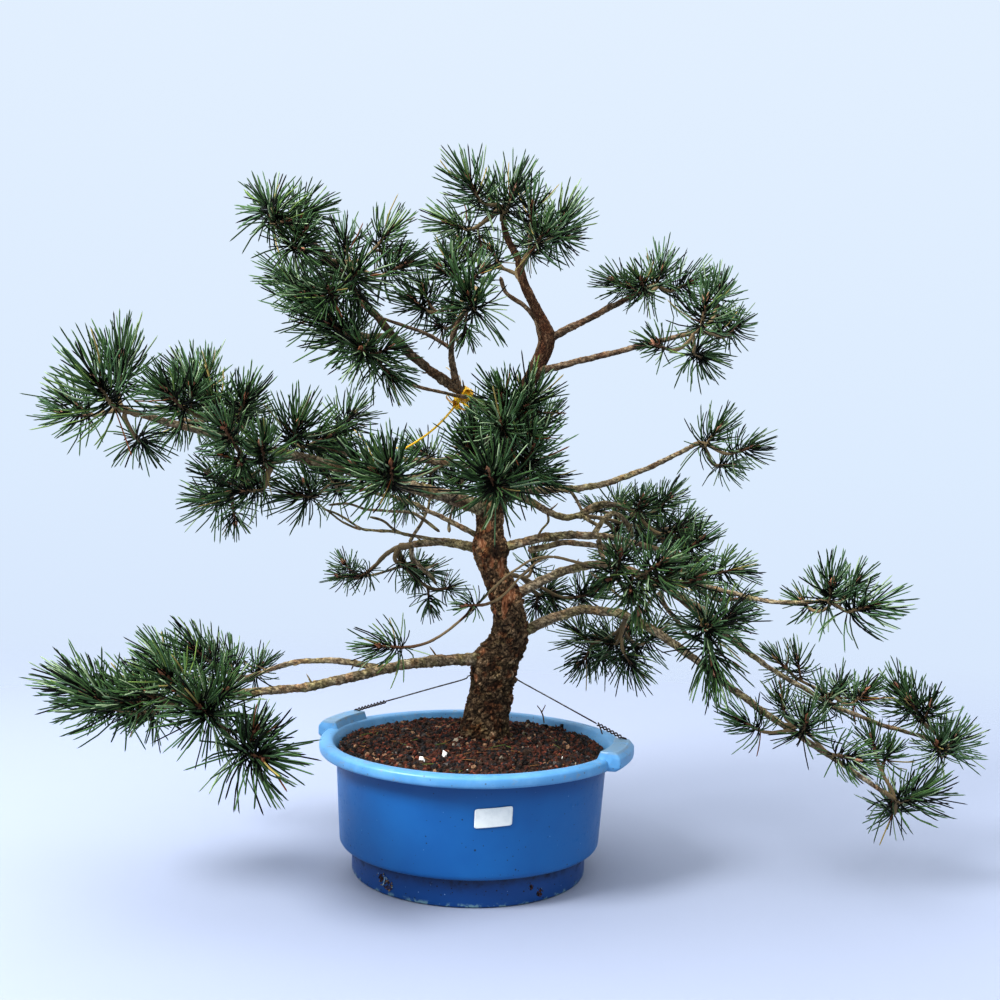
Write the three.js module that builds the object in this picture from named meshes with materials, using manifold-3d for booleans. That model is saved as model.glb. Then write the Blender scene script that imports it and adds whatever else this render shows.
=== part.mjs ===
// A young Scots pine in training, planted in a round plastic pot with two lugs.
// Millimetres, +Z up. The origin is the centre of the pot's flat underside,
// and the front of the tree looks along -Y.
import * as THREE from 'three';
import { mergeVertices } from 'three/addons/utils/BufferGeometryUtils.js';
import Module from 'manifold-3d';

// Driving dimensions
const CLEARANCE = 0.3; // gap between pieces that touch
const CUT_CLEARANCE = 1.2 * CLEARANCE; // gap left where a piece is cut by a faceted limb
const SLIVER = 0.25; // edges shorter than this, left where solids were joined, are closed up

const POT = {
  footRadius: 139, footHeight: 32, bodyRadius: 154.3, shoulderRadius: 161.5, wall: 3,
  lipRadius: 182, lipInner: 162.7, lipBottom: 139, lipTop: 153.5, round: 4, dip: 0.5, slopeWidth: 10,
  segments: 36,
};
const LUG = {
  azimuths: [-19.5, 157.5], halfAngle: 13.2, endAngle: 0.7, bevelAngle: 1.8, reach: 194, top: 162,
  bottom: 140, inset: 0.5, bevel: 6, undercut: 12, side: 5, innerTop: 171,
};
const SOIL = {
  edgeHeight: 142, shoulderHeight: 146, shoulderRadius: 120, crownHeight: 149.7, crownRadius: 75,
};
const LABEL = { azimuth: -80.8, width: 41, height: 21, middle: 103.7, tilt: 4, thickness: 0.5, steps: 4 };
const WIRE = {
  radius: 0.7, twistRadius: 1.3, twistLength: 42, straightTo: 0.7, steps: 26, sides: 4,
  ends: [[-149, 100, 163.8], [177.3, -26.5, 163.8]],
  loopCentre: [22, 29], loopRadius: 33, loopHeight: 220, loopPoints: 6, loopFrom: 190, loopStep: -40,
};
const TIE = {
  limb: 'bough_upper_left', at: 0.195, looseness: 2.6, width: 9, thickness: 2, segments: 12,
  knot: [13, 8, 9], knotSunk: 1, stringEnd: [-88, -30, 508], stringArch: -4, stringRadius: 1.1,
};

// The trunk's stations from the flat cut at the soil to the tip: x, y, z, radius
const TRUNK = [
  [13, 30, 150, 31.5], [15, 30, 170, 28.5], [22, 28, 206, 27.5], [25, 26, 235, 29.5], [35, 25, 256, 26],
  [41, 22, 276, 22], [40, 20, 302, 20.5], [33, 18, 327, 19.5], [21, 15, 352, 17.5], [15, 12, 376, 20],
  [14, 12, 396, 16], [14, 12, 419, 16.5], [18, 14, 445, 15.5], [26, 15, 490, 13.5], [37, 20, 540, 12],
  [56, 22, 585, 11], [76, 24, 628, 10.5], [78, 24, 645, 9.5], [65, 24, 672, 7.7], [47, 20, 705, 6.7],
  [38, 18, 735, 5.5], [24, 14, 760, 4.8], [18, 12, 780, 4.2],
];
const TRUNK_SIDES = 14;
const FLARE = { lobes: 5, depth: 0.1, height: 45 }; // ribs of the root flare, which die out upward

// Each bough: what it grows on and where (a height on the trunk, a share of the
// length on a bough), its tip, how its straight line bends, and its end radii
const BOUGHS = [
  { name: 'bough_low_left', on: 'trunk', at: 243, tip: [-260, -140, 225],
    arch: 3, sway: -4, swing: 6, radii: [8.5, 4.4] },
  { name: 'bough_low_left_back', on: 'bough_low_left', at: 0.46, tip: [-255, -5, 225],
    arch: 14, sway: 6, radii: [4.5, 3] },
  { name: 'bough_left_stub', on: 'trunk', at: 375, tip: [-85, 75, 380],
    arch: 8, radii: [7, 4.5] },
  { name: 'bough_left_thin', on: 'trunk', at: 388, tip: [-160, 30, 452],
    arch: 9, sway: -7, wander: 5, radii: [4, 2.2] },
  { name: 'bough_left_main', on: 'trunk', at: 428, tip: [-365, -145, 520],
    sway: 14, wander: 10, radii: [9.8, 3.8] },
  { name: 'bough_left_upper', on: 'trunk', at: 475, tip: [-205, -50, 497],
    sway: -7, swing: 3, radii: [4.5, 2.8] },
  { name: 'bough_upper_left', on: 'trunk', at: 530, tip: [-235, -70, 755],
    arch: -20, sway: 13, swing: -5, ripple: 5, radii: [8, 3] },
  { name: 'bough_upper_inner', on: 'bough_upper_left', at: 0.22, tip: [-20, -60, 660],
    arch: 7, sway: -14, radii: [5, 3] },
  { name: 'bough_upper_right', on: 'trunk', at: 640, tip: [200, 50, 710],
    sway: -4, radii: [5.5, 3.2] },
  { name: 'bough_right_top', on: 'trunk', at: 597, tip: [230, -40, 640],
    wander: -3, radii: [5, 3] },
  { name: 'bough_right_high', on: 'trunk', at: 457, tip: [265, 60, 515],
    arch: -23, sway: -6, radii: [6, 3] },
  { name: 'bough_right_loop', on: 'trunk', at: 436, tip: [185, 60, 435],
    arch: -4, sway: -8, swing: 4, wander: 7, ripple: 9, radii: [6, 3.2] },
  { name: 'bough_right_mid', on: 'trunk', at: 377, tip: [205, 20, 390],
    arch: 18, sway: -36, wander: 8, radii: [7.2, 3.4] },
  { name: 'bough_right_arm', on: 'trunk', at: 318, tip: [245, -90, 330],
    arch: 44, sway: 12, wander: 10, radii: [7.2, 3.6] },
  { name: 'bough_right_far', on: 'bough_right_arm', at: 0.78, tip: [390, -70, 335],
    arch: -3, sway: 8, swing: 4, radii: [3.4, 2.4] },
  { name: 'bough_right_long', on: 'bough_right_arm', at: 0.86, tip: [575, 20, 160],
    arch: -28, sway: -5, radii: [4, 2.4] },
  { name: 'bough_low_right', on: 'trunk', at: 266, tip: [480, -60, 115],
    arch: 76, sway: -5, swing: 23, wander: 27, ripple: 6, radii: [7.5, 2.8] },
  { name: 'bough_back', on: 'trunk', at: 500, tip: [10, 150, 515],
    arch: 12, sway: 8, radii: [6, 3.2] },
];
const BOUGH = { sides: 6, stepLength: 38, minSteps: 4, taperPower: 0.8 };

// Each mass of foliage: what it grows on and where, where its leading shoots end, and how
// slim a stem it has and how far that rises where they differ from the rule
const MASSES = [
  { name: 'foliage_low_left', on: 'bough_low_left', at: 1,
    shoots: [[-270, -225, 225], [-205, -235, 180], [-400, -160, 220], [-430, -130, 228],
      [-315, -190, 250], [-375, -110, 220], [-255, -190, 235]] },
  { name: 'foliage_low_left_back', on: 'bough_low_left_back', at: 1,
    shoots: [[-325, -40, 255], [-305, 50, 230], [-270, 70, 220], [-390, 40, 235]] },
  { name: 'foliage_crossing', on: 'bough_right_arm', at: 0.45, slim: 0.55, rise: 0.5,
    shoots: [[-104, -100, 274], [-10, -80, 320]] },
  { name: 'foliage_back_left', on: 'bough_left_stub', at: 1,
    shoots: [[-184, 152, 332], [-62, 141, 341], [-85, 100, 350], [-35, 160, 320]] },
  { name: 'foliage_left_inner', on: 'bough_left_thin', at: 1,
    shoots: [[-215, -40, 440], [-195, 30, 472], [-180, 75, 455]] },
  { name: 'foliage_left_far', on: 'bough_left_main', at: 1,
    shoots: [[-395, -190, 550], [-370, -110, 490], [-450, -120, 535], [-395, -120, 580]] },
  { name: 'foliage_left_top', on: 'bough_left_main', at: 0.74,
    shoots: [[-330, -70, 565], [-290, -130, 535], [-290, 50, 545], [-375, 0, 550],
      [-326, -180, 541], [-252, -150, 540]] },
  { name: 'foliage_left_hanging', on: 'bough_left_main', at: 0.6,
    shoots: [[-270, -100, 440], [-325, 0, 430], [-265, -30, 455], [-229, -170, 488],
      [-263, -190, 505]] },
  { name: 'foliage_left_front', on: 'bough_left_main', at: 0.3,
    shoots: [[-90, -205, 470], [-130, -150, 470]] },
  { name: 'foliage_left_upper', on: 'bough_left_upper', at: 1,
    shoots: [[-205, -100, 515], [-160, 30, 540], [-180, -60, 505]] },
  { name: 'foliage_crown_left', on: 'bough_upper_left', at: 1,
    shoots: [[-225, -90, 745], [-250, -60, 770], [-210, -20, 775], [-205, -110, 710]] },
  { name: 'foliage_crown_left_mid', on: 'bough_upper_left', at: 0.8,
    shoots: [[-140, -130, 680], [-240, 0, 700], [-185, -40, 710], [-118, -20, 754],
      [-169, -20, 742], [-95, -60, 707], [-166, -150, 658]] },
  { name: 'foliage_crown_left_low', on: 'bough_upper_left', at: 0.5,
    shoots: [[-170, -100, 630], [-105, -70, 580], [-170, 20, 640], [-131, -140, 597],
      [-213, -60, 663]] },
  { name: 'foliage_crown_inner', on: 'bough_upper_inner', at: 1,
    shoots: [[-86, -11, 676], [-18, -100, 664], [-58, 40, 655], [-45, 32, 735]] },
  { name: 'foliage_apex', on: 'trunk', at: 780,
    shoots: [[-24, -24, 816], [30, 8, 814], [-48, 30, 780], [5, 35, 811]] },
  { name: 'foliage_apex_right', on: 'trunk', at: 725,
    shoots: [[65, -60, 750], [95, 40, 795], [50, -50, 780]] },
  { name: 'foliage_apex_back', on: 'trunk', at: 700,
    shoots: [[5, 100, 765], [-35, 80, 770], [55, 110, 790]] },
  { name: 'foliage_upper_right', on: 'bough_upper_right', at: 1,
    shoots: [[160, 30, 715], [220, 60, 735], [185, -20, 705], [255, 50, 720]] },
  { name: 'foliage_right_top', on: 'bough_right_top', at: 1,
    shoots: [[250, -80, 670], [192, -85, 622], [310, 20, 665], [262, -15, 618], [285, 10, 705]] },
  { name: 'foliage_right_high', on: 'bough_right_high', at: 1,
    shoots: [[295, 55, 535], [335, 40, 515], [325, 100, 495]] },
  { name: 'foliage_right_mid', on: 'bough_right_loop', at: 1,
    shoots: [[205, 80, 425], [250, 120, 450], [255, 50, 410], [290, 110, 370], [195, 0, 445]] },
  { name: 'foliage_right_back', on: 'bough_right_loop', at: 0.6,
    shoots: [[240, 210, 390], [195, 190, 445], [290, 180, 420]] },
  { name: 'foliage_right_front', on: 'bough_right_arm', at: 0.5,
    shoots: [[155, -130, 385], [195, -165, 380], [235, -140, 362]] },
  { name: 'foliage_right_inner', on: 'bough_right_mid', at: 1,
    shoots: [[325, 60, 360], [260, -30, 400], [325, 0, 330]] },
  { name: 'foliage_right_low', on: 'bough_right_arm', at: 1,
    shoots: [[250, -140, 310], [295, -60, 315], [260, -130, 265]] },
  { name: 'foliage_right_far', on: 'bough_right_far', at: 1,
    shoots: [[400, -90, 355], [440, -105, 335], [390, -10, 330], [445, -40, 355]] },
  { name: 'foliage_low_right_long', on: 'bough_right_long', at: 1,
    shoots: [[535, 10, 210], [598, 30, 160], [551, -32, 166], [540, 60, 215]] },
  { name: 'foliage_low_right_mid', on: 'bough_right_long', at: 0.6,
    shoots: [[405, -70, 225], [480, 10, 220], [380, 40, 250], [465, 60, 215]] },
  { name: 'foliage_low_right_front', on: 'bough_low_right', at: 0.72,
    shoots: [[310, -70, 195], [370, -110, 205], [370, -10, 210], [425, -110, 165]] },
  { name: 'foliage_low_right_tip', on: 'bough_low_right', at: 1,
    shoots: [[520, -60, 115], [502, -20, 92], [480, -15, 165]] },
  { name: 'foliage_under_right', on: 'bough_low_right', at: 0.3,
    shoots: [[135, 120, 270], [170, 90, 265], [200, 60, 235], [240, 130, 270], [170, 140, 235]] },
  { name: 'foliage_back_right', on: 'trunk', at: 350,
    shoots: [[100, 140, 320], [155, 150, 325], [75, 110, 365]] },
  { name: 'foliage_front', on: 'trunk', at: 485,
    shoots: [[10, -200, 465], [55, -130, 495], [70, -50, 465], [-10, -110, 495]] },
  { name: 'foliage_front_high', on: 'trunk', at: 550,
    shoots: [[20, -110, 555], [55, -100, 555], [20, -160, 520]] },
  { name: 'foliage_back_high', on: 'bough_back', at: 1,
    shoots: [[35, 210, 525], [85, 190, 470], [-15, 180, 550], [85, 170, 550]] },
  { name: 'foliage_back_mid', on: 'bough_back', at: 0.6,
    shoots: [[-130, 150, 475], [-85, 180, 505], [-35, 190, 440]] },
];

// The rule that every mass grows by
const STEM = { share: 0.22, shortest: 14, longest: 45, sides: 5, sideShare: 0.7, sideRadius: 3 };
const TWIG = {
  sunk: 3, sunkMore: 0.25, turn: 0.37, steps: 2, baseShare: 0.75, tipRadius: 1.7,
  leave: 0.3, arrive: 0.35, uplift: 0.45, jitter: 0.3,
};
const SHOOT = {
  coreLength: 27, tipShare: 0.9, coreRadius: 2.8, bands: 3, neck: 0.4, twist: 0.42, budLength: 9,
};
const NEEDLE = {
  length: 56, spread: 0.1, radius: 2.2, leanBack: 0, leanFront: 58, leanJitter: 16, sideJitter: 0.5,
  foot: 6, freeFrom: 12, kept: 0.84,
};

const COLOURS = {
  bark: '#5b4638', twigBark: '#6d5644', needles: '#2f5a3c', potBody: '#2b62b0', soil: '#3a241d',
  label: '#eceff0', steel: '#6d6f70', yellow: '#e8c21c',
};

const UP = new THREE.Vector3(0, 0, 1);
const vector = (values) => new THREE.Vector3(...values);
const radians = THREE.MathUtils.degToRad;

// Solids

const wasm = await Module();
wasm.setup();

function toSolid(geometry) {
  const bare = geometry.clone();
  bare.deleteAttribute('normal');
  bare.deleteAttribute('uv');
  const merged = mergeVertices(bare, 1e-4);
  const corners = merged.index.array;
  const faces = [];
  for (let i = 0; i < corners.length; i += 3) {
    const [a, b, c] = corners.slice(i, i + 3);
    if (a !== b && b !== c && c !== a) faces.push(a, b, c);
  }
  const vertProperties = new Float32Array(merged.attributes.position.array);
  const build = () => {
    const triVerts = new Uint32Array(faces);
    return new wasm.Manifold(new wasm.Mesh({ numProp: 3, vertProperties, triVerts }));
  };
  const solid = build();
  if (solid.volume() > 0) return solid;
  faces.reverse();
  return build();
}

function toGeometry(solid) {
  const mesh = solid.getMesh();
  const geometry = new THREE.BufferGeometry();
  geometry.setAttribute('position', new THREE.BufferAttribute(new Float32Array(mesh.vertProperties), 3));
  geometry.setIndex([...mesh.triVerts]);
  geometry.computeVertexNormals();
  return geometry;
}

function largestPiece(solid) {
  const pieces = solid.asOriginal().simplify(SLIVER).decompose();
  return pieces.reduce((best, piece) => (piece.volume() > best.volume() ? piece : best));
}

// A closed surface through rings of equal point counts, flat at both ends
function loft(rings) {
  const sides = rings[0].length;
  const index = [];
  for (let i = 0; i < rings.length - 1; i += 1) {
    for (let j = 0; j < sides; j += 1) {
      const next = (j + 1) % sides;
      const [a, b] = [i * sides + j, i * sides + next];
      index.push(a, b, b + sides, a, b + sides, a + sides);
    }
  }
  const last = (rings.length - 1) * sides;
  for (let j = 1; j < sides - 1; j += 1) {
    index.push(0, j + 1, j, last, last + j, last + j + 1);
  }
  const geometry = new THREE.BufferGeometry().setFromPoints(rings.flat());
  geometry.setIndex(index);
  return geometry;
}

// Limbs

class LimbCurve extends THREE.Curve {
  // A straight line from base to tip that is bent up by arch and sideways by
  // sway in one bow, up by swing and sideways by wander in an S, and up by
  // ripple in three half waves.
  constructor(base, tip, { arch = 0, sway = 0, swing = 0, wander = 0, ripple = 0 } = {}) {
    super();
    this.base = base;
    this.tip = tip;
    this.bends = { arch, sway, swing, wander, ripple };
    this.side = new THREE.Vector3().crossVectors(UP, tip.clone().sub(base)).normalize();
  }

  getPoint(t, target = new THREE.Vector3()) {
    const bow = Math.sin(Math.PI * t);
    const ess = Math.sin(2 * Math.PI * t);
    const wave = Math.sin(3 * Math.PI * t);
    return target
      .lerpVectors(this.base, this.tip, t)
      .addScaledVector(UP, this.bends.arch * bow + this.bends.swing * ess + this.bends.ripple * wave)
      .addScaledVector(this.side, this.bends.sway * bow + this.bends.wander * ess);
  }
}

function tube(curve, steps, sides, radiusAt) {
  const frames = curve.computeFrenetFrames(steps);
  const rings = [];
  for (let i = 0; i <= steps; i += 1) {
    const centre = curve.getPointAt(i / steps);
    const radius = radiusAt(i / steps);
    rings.push(Array.from({ length: sides }, (_, j) => {
      const angle = (j / sides) * 2 * Math.PI;
      return centre.clone()
        .addScaledVector(frames.normals[i], radius * Math.cos(angle))
        .addScaledVector(frames.binormals[i], radius * Math.sin(angle));
    }));
  }
  return loft(rings);
}

const trunkCurve = new THREE.CatmullRomCurve3(TRUNK.map(([x, y, z]) => new THREE.Vector3(x, y, z)));

function trunkShareAt(height) {
  const above = TRUNK.findIndex(([, , z]) => z >= height);
  if (above <= 0) return 0;
  const [low, high] = [TRUNK[above - 1][2], TRUNK[above][2]];
  return (above - 1 + (height - low) / (high - low)) / (TRUNK.length - 1);
}

function trunkRadiusAt(share) {
  const place = share * (TRUNK.length - 1);
  const station = Math.min(Math.floor(place), TRUNK.length - 2);
  return THREE.MathUtils.lerp(TRUNK[station][3], TRUNK[station + 1][3], place - station);
}

// Level rings from the flat cut to the tip, ribbed at the root flare
function trunkGeometry(grown) {
  const steps = TRUNK.length - 1;
  const rings = [];
  for (let i = 0; i <= steps; i += 1) {
    const centre = trunkCurve.getPoint(i / steps);
    const ribs = FLARE.depth * Math.max(0, 1 - (centre.z - TRUNK[0][2]) / FLARE.height);
    rings.push(Array.from({ length: TRUNK_SIDES }, (_, j) => {
      const angle = (j / TRUNK_SIDES) * 2 * Math.PI;
      const radius = (trunkRadiusAt(i / steps) + grown) * (1 + ribs * Math.cos(FLARE.lobes * angle));
      const across = new THREE.Vector3(radius * Math.cos(angle), radius * Math.sin(angle), 0);
      return across.add(centre);
    }));
  }
  return loft(rings);
}

const limbs = new Map(); // what the boughs and masses grow on, by name
limbs.set('trunk', {
  solid: toSolid(trunkGeometry(0)),
  grown: toSolid(trunkGeometry(CUT_CLEARANCE)),
  pointAt: (height) => trunkCurve.getPoint(trunkShareAt(height)),
  tangentAt: () => UP,
  radiusAt: (height) => trunkRadiusAt(trunkShareAt(height)),
  end: TRUNK.at(-1)[2],
});

// What other pieces must keep clear of: lines with a radius and an owner
const taken = [];
function occupy(owner, points, radiusAt) {
  for (let i = 0; i < points.length - 1; i += 1) {
    const radius = Math.max(radiusAt(i / (points.length - 1)), radiusAt((i + 1) / (points.length - 1)));
    taken.push({ owner, line: new THREE.Line3(points[i], points[i + 1]), radius });
  }
}
occupy('trunk', trunkCurve.getPoints(TRUNK.length - 1), trunkRadiusAt);

function growBough({ name, on, at, tip, radii, ...bends }) {
  const parent = limbs.get(on);
  const curve = new LimbCurve(parent.pointAt(at), vector(tip), bends);
  const steps = Math.max(BOUGH.minSteps, Math.round(curve.getLength() / BOUGH.stepLength));
  const radiusAt = (share) => THREE.MathUtils.lerp(radii[0], radii[1], share ** BOUGH.taperPower);
  const build = (grown) => toSolid(tube(curve, steps, BOUGH.sides, (share) => radiusAt(share) + grown));
  limbs.set(name, {
    solid: largestPiece(build(0).subtract(parent.grown)),
    grown: build(CUT_CLEARANCE),
    pointAt: (share) => curve.getPointAt(share),
    tangentAt: (share) => curve.getTangentAt(share),
    radiusAt,
    end: 1,
  });
  occupy(name, curve.getSpacedPoints(2 * steps), radiusAt);
}
BOUGHS.forEach(growBough);

// Foliage

function seededRandom(seed) {
  let state = seed * 7919 + 17;
  return () => {
    state = (state * 16807) % 2147483647;
    return state / 2147483647;
  };
}

function isClear(start, end, radius, owner) {
  const line = new THREE.Line3(start, end);
  return taken.every((other) => {
    if (other.owner === owner && !other.needle) return true;
    const room = radius + other.radius + 2 * CLEARANCE;
    return other.line.distanceSqToLine3(line) > room * room;
  });
}

// The stem from the limb to the fork, and one curved twig to each leading shoot
function planMass({ name, on, at, shoots, slim = 1, rise = 0 }, order) {
  const random = seededRandom(order + 1);
  const limb = limbs.get(on);
  const tips = shoots.map(vector);
  const middle = tips.reduce((sum, tip) => sum.add(tip), new THREE.Vector3()).divideScalar(tips.length);
  const root = limb.pointAt(at);
  const fromEnd = at === limb.end;
  const towards = middle.clone().sub(root).normalize().addScaledVector(UP, rise).normalize();
  const heading = fromEnd ? limb.tangentAt(at) : towards;
  const reach = root.distanceTo(middle);
  const stemLength = THREE.MathUtils.clamp(reach * STEM.share, STEM.shortest, STEM.longest)
    + (fromEnd ? 0 : limb.radiusAt(at));
  const start = fromEnd ? root.clone().addScaledVector(heading, CLEARANCE) : root;
  const fork = start.clone().addScaledVector(heading, stemLength);
  const sideRadius = slim * Math.min(STEM.sideShare * limb.radiusAt(at), STEM.sideRadius);
  const stemRadius = fromEnd ? limb.radiusAt(at) : sideRadius;
  const twigs = tips.map((tip, i) => {
    const jitter = vector([random() - 0.5, random() - 0.5, random() - 0.5]).multiplyScalar(TWIG.jitter);
    const axis = tip.clone().sub(fork).normalize().addScaledVector(UP, TWIG.uplift).add(jitter).normalize();
    const coreStart = tip.clone().addScaledVector(axis, -SHOOT.tipShare * SHOOT.coreLength);
    const length = coreStart.distanceTo(fork);
    const leave = fork.clone().addScaledVector(heading, TWIG.leave * length);
    const arrive = coreStart.clone().addScaledVector(axis, -TWIG.arrive * length);
    const inside = fork.clone().addScaledVector(heading, -TWIG.sunk * (1 + TWIG.sunkMore * i));
    const curve = new THREE.CubicBezierCurve3(inside, leave, arrive, coreStart);
    return { axis, coreStart, curve, turn: i * TWIG.turn };
  });
  const twigRadius = Math.max(TWIG.tipRadius, TWIG.baseShare * stemRadius);
  const radiusAt = (share) => THREE.MathUtils.lerp(twigRadius, TWIG.tipRadius, share);
  occupy(name, [start, fork], () => stemRadius);
  twigs.forEach(({ curve }) => occupy(name, curve.getSpacedPoints(4), radiusAt));
  twigs.forEach(({ axis, coreStart }) => {
    const end = coreStart.clone().addScaledVector(axis, SHOOT.coreLength + SHOOT.budLength);
    occupy(name, [coreStart, end], () => SHOOT.coreRadius);
  });
  return { name, limb, fromEnd, start, fork, stemRadius, twigs, radiusAt, random };
}

// A three-sided twig whose last rings swell into a core, with a needle drawn
// out of every other face of the core and a bud at the end
function shootGeometry({ axis, coreStart, curve, turn }, radiusAt, name, random) {
  const frames = curve.computeFrenetFrames(TWIG.steps);
  const points = [];
  const faces = [];
  const addRing = (centre, across, over, radius, twist) => {
    for (let j = 0; j < 3; j += 1) {
      const angle = ((j + turn + twist) / 3) * 2 * Math.PI;
      points.push(centre.clone()
        .addScaledVector(across, radius * Math.cos(angle))
        .addScaledVector(over, radius * Math.sin(angle)));
    }
  };
  for (let i = 0; i <= TWIG.steps; i += 1) {
    const share = i / TWIG.steps;
    addRing(curve.getPointAt(share), frames.normals[i], frames.binormals[i], radiusAt(share), 0);
  }
  const [across, over] = [frames.normals[TWIG.steps], frames.binormals[TWIG.steps]];
  for (let band = 0; band <= SHOOT.bands; band += 1) {
    const share = (band + SHOOT.neck) / (SHOOT.bands + SHOOT.neck);
    const centre = coreStart.clone().addScaledVector(axis, share * SHOOT.coreLength);
    addRing(centre, across, over, SHOOT.coreRadius, (band + 1) * SHOOT.twist);
  }
  points.push(coreStart.clone().addScaledVector(axis, SHOOT.coreLength + SHOOT.budLength));
  const bud = points.length - 1;
  const firstCore = TWIG.steps + 1;
  const lastRing = firstCore + SHOOT.bands;

  const drawNeedle = ([a, b, c], rise) => {
    const base = new THREE.Vector3().add(points[a]).add(points[b]).add(points[c]).divideScalar(3);
    const along = base.clone().sub(coreStart).dot(axis);
    const out = base.clone().sub(coreStart).addScaledVector(axis, -along).normalize();
    const leaning = THREE.MathUtils.lerp(NEEDLE.leanBack, NEEDLE.leanFront, rise);
    const lean = radians(leaning + NEEDLE.leanJitter * (random() - 0.5));
    const sideways = new THREE.Vector3().crossVectors(axis, out)
      .multiplyScalar(NEEDLE.sideJitter * (random() - 0.5));
    const reach = NEEDLE.length * (1 + NEEDLE.spread * (2 * random() - 1));
    const way = out.multiplyScalar(Math.cos(lean)).addScaledVector(axis, Math.sin(lean)).add(sideways);
    way.normalize();
    const tip = base.clone().addScaledVector(way, reach);
    const foot = base.clone().addScaledVector(way, NEEDLE.foot);
    const wanted = random() < NEEDLE.kept;
    if (!wanted || !isClear(foot, tip, NEEDLE.radius, name)) {
      faces.push([a, b, c]);
      return;
    }
    const free = new THREE.Line3(base.clone().addScaledVector(way, NEEDLE.freeFrom), tip);
    taken.push({ owner: name, line: free, radius: NEEDLE.radius / 2, needle: true });
    points.push(tip);
    const peak = points.length - 1;
    faces.push([a, b, peak], [b, c, peak], [c, a, peak]);
  };

  faces.push([2, 1, 0]);
  for (let ring = 0; ring < lastRing; ring += 1) {
    for (let j = 0; j < 3; j += 1) {
      const a = ring * 3 + j;
      const b = ring * 3 + ((j + 1) % 3);
      if (ring >= firstCore) drawNeedle([a, b, a + 3], (ring - firstCore) / SHOOT.bands);
      else faces.push([a, b, a + 3]);
      faces.push([b, b + 3, a + 3]);
    }
  }
  for (let j = 0; j < 3; j += 1) {
    drawNeedle([lastRing * 3 + j, lastRing * 3 + ((j + 1) % 3), bud], 1);
  }
  const geometry = new THREE.BufferGeometry().setFromPoints(points);
  geometry.setIndex(faces.flat());
  return geometry;
}

function growMass(plan) {
  const stem = tube(new THREE.LineCurve3(plan.start, plan.fork), 1, STEM.sides, () => plan.stemRadius);
  let solid = toSolid(stem);
  plan.twigs.forEach((twig) => {
    solid = solid.add(toSolid(shootGeometry(twig, plan.radiusAt, plan.name, plan.random)));
  });
  if (!plan.fromEnd) solid = solid.subtract(plan.limb.grown);
  return largestPiece(solid);
}

// Pot, soil and the small pieces

function turned(profile) {
  const points = profile.map(([radius, height]) => new THREE.Vector2(radius, height));
  return toSolid(new THREE.LatheGeometry(points, POT.segments).rotateX(Math.PI / 2));
}

function polar(radius, azimuth, height) {
  return new THREE.Vector3(radius * Math.cos(azimuth), radius * Math.sin(azimuth), height);
}

const potRadiusAt = (height) => THREE.MathUtils.mapLinear(
  height, POT.footHeight, POT.lipBottom, POT.bodyRadius, POT.shoulderRadius,
);

// A raised bevelled block over the lip, swept round a short arc
function lugSolid(azimuth) {
  const { halfAngle, endAngle, bevelAngle, reach, top, bottom, inset, bevel, undercut, side, innerTop } = LUG;
  const flat = halfAngle - bevelAngle;
  const inner = POT.lipInner + inset;
  const tall = halfAngle - endAngle;
  const stations = [-halfAngle, -tall, -flat, 0, flat, tall, halfAngle];
  const rings = stations.map((angle) => {
    const fromEnd = halfAngle - Math.abs(angle);
    const outer = THREE.MathUtils.lerp(POT.lipRadius - 1, reach, Math.min(1, fromEnd / bevelAngle));
    const high = THREE.MathUtils.lerp(POT.lipTop + 1, top, Math.min(1, fromEnd / endAngle));
    const profile = [
      [outer - undercut, bottom], [outer - bevel, bottom + inset], [outer, bottom + side],
      [outer, high - bevel - 1], [outer - bevel, high], [innerTop, high], [inner, bottom + side],
    ];
    return profile.map(([radius, height]) => polar(radius, radians(azimuth + angle), height));
  });
  return toSolid(loft(rings));
}

function potSolid() {
  const { footRadius, footHeight, bodyRadius, shoulderRadius, wall } = POT;
  const { lipRadius, lipInner, lipBottom, lipTop, round, dip, slopeWidth } = POT;
  const ledge = footHeight + dip;
  const cup = turned([
    [0, 0], [footRadius, 0], [footRadius, footHeight], [bodyRadius, ledge], [shoulderRadius, lipBottom],
    [lipRadius - wall, lipBottom], [lipRadius, lipBottom + round], [lipRadius, lipTop - round],
    [lipRadius - round, lipTop - dip], [lipRadius - slopeWidth, lipTop], [lipInner + round, lipTop - dip],
    [lipInner, lipTop - round], [shoulderRadius - wall, lipBottom - wall], [bodyRadius - wall, ledge + wall],
    [footRadius - wall, ledge + wall], [footRadius - wall, wall], [0, wall],
  ]);
  return LUG.azimuths.reduce((pot, azimuth) => pot.add(lugSolid(azimuth)), cup);
}

function soilSolid() {
  const { footRadius, footHeight, bodyRadius, shoulderRadius, wall, lipBottom } = POT;
  const inset = wall + CLEARANCE;
  const ledge = footHeight + POT.dip + inset;
  return turned([
    [0, inset], [footRadius - inset, inset], [footRadius - inset, ledge], [bodyRadius - inset, ledge],
    [shoulderRadius - inset, lipBottom - wall], [shoulderRadius - wall, SOIL.edgeHeight],
    [SOIL.shoulderRadius, SOIL.shoulderHeight], [SOIL.crownRadius, SOIL.crownHeight], [0, SOIL.crownHeight],
  ]);
}

// A thin plate that follows the pot's side, tilted a little
function labelSolid() {
  const rings = Array.from({ length: LABEL.steps + 1 }, (_, i) => {
    const across = (i / LABEL.steps - 0.5) * LABEL.width;
    const azimuth = radians(LABEL.azimuth) + across / potRadiusAt(LABEL.middle);
    const middle = LABEL.middle + across * Math.tan(radians(LABEL.tilt));
    const corner = (side, out) => {
      const height = middle + (side * LABEL.height) / 2;
      return polar(potRadiusAt(height) + CLEARANCE + out, azimuth, height);
    };
    return [corner(-1, 0), corner(-1, LABEL.thickness), corner(1, LABEL.thickness), corner(1, 0)];
  });
  return toSolid(loft(rings));
}

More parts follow.
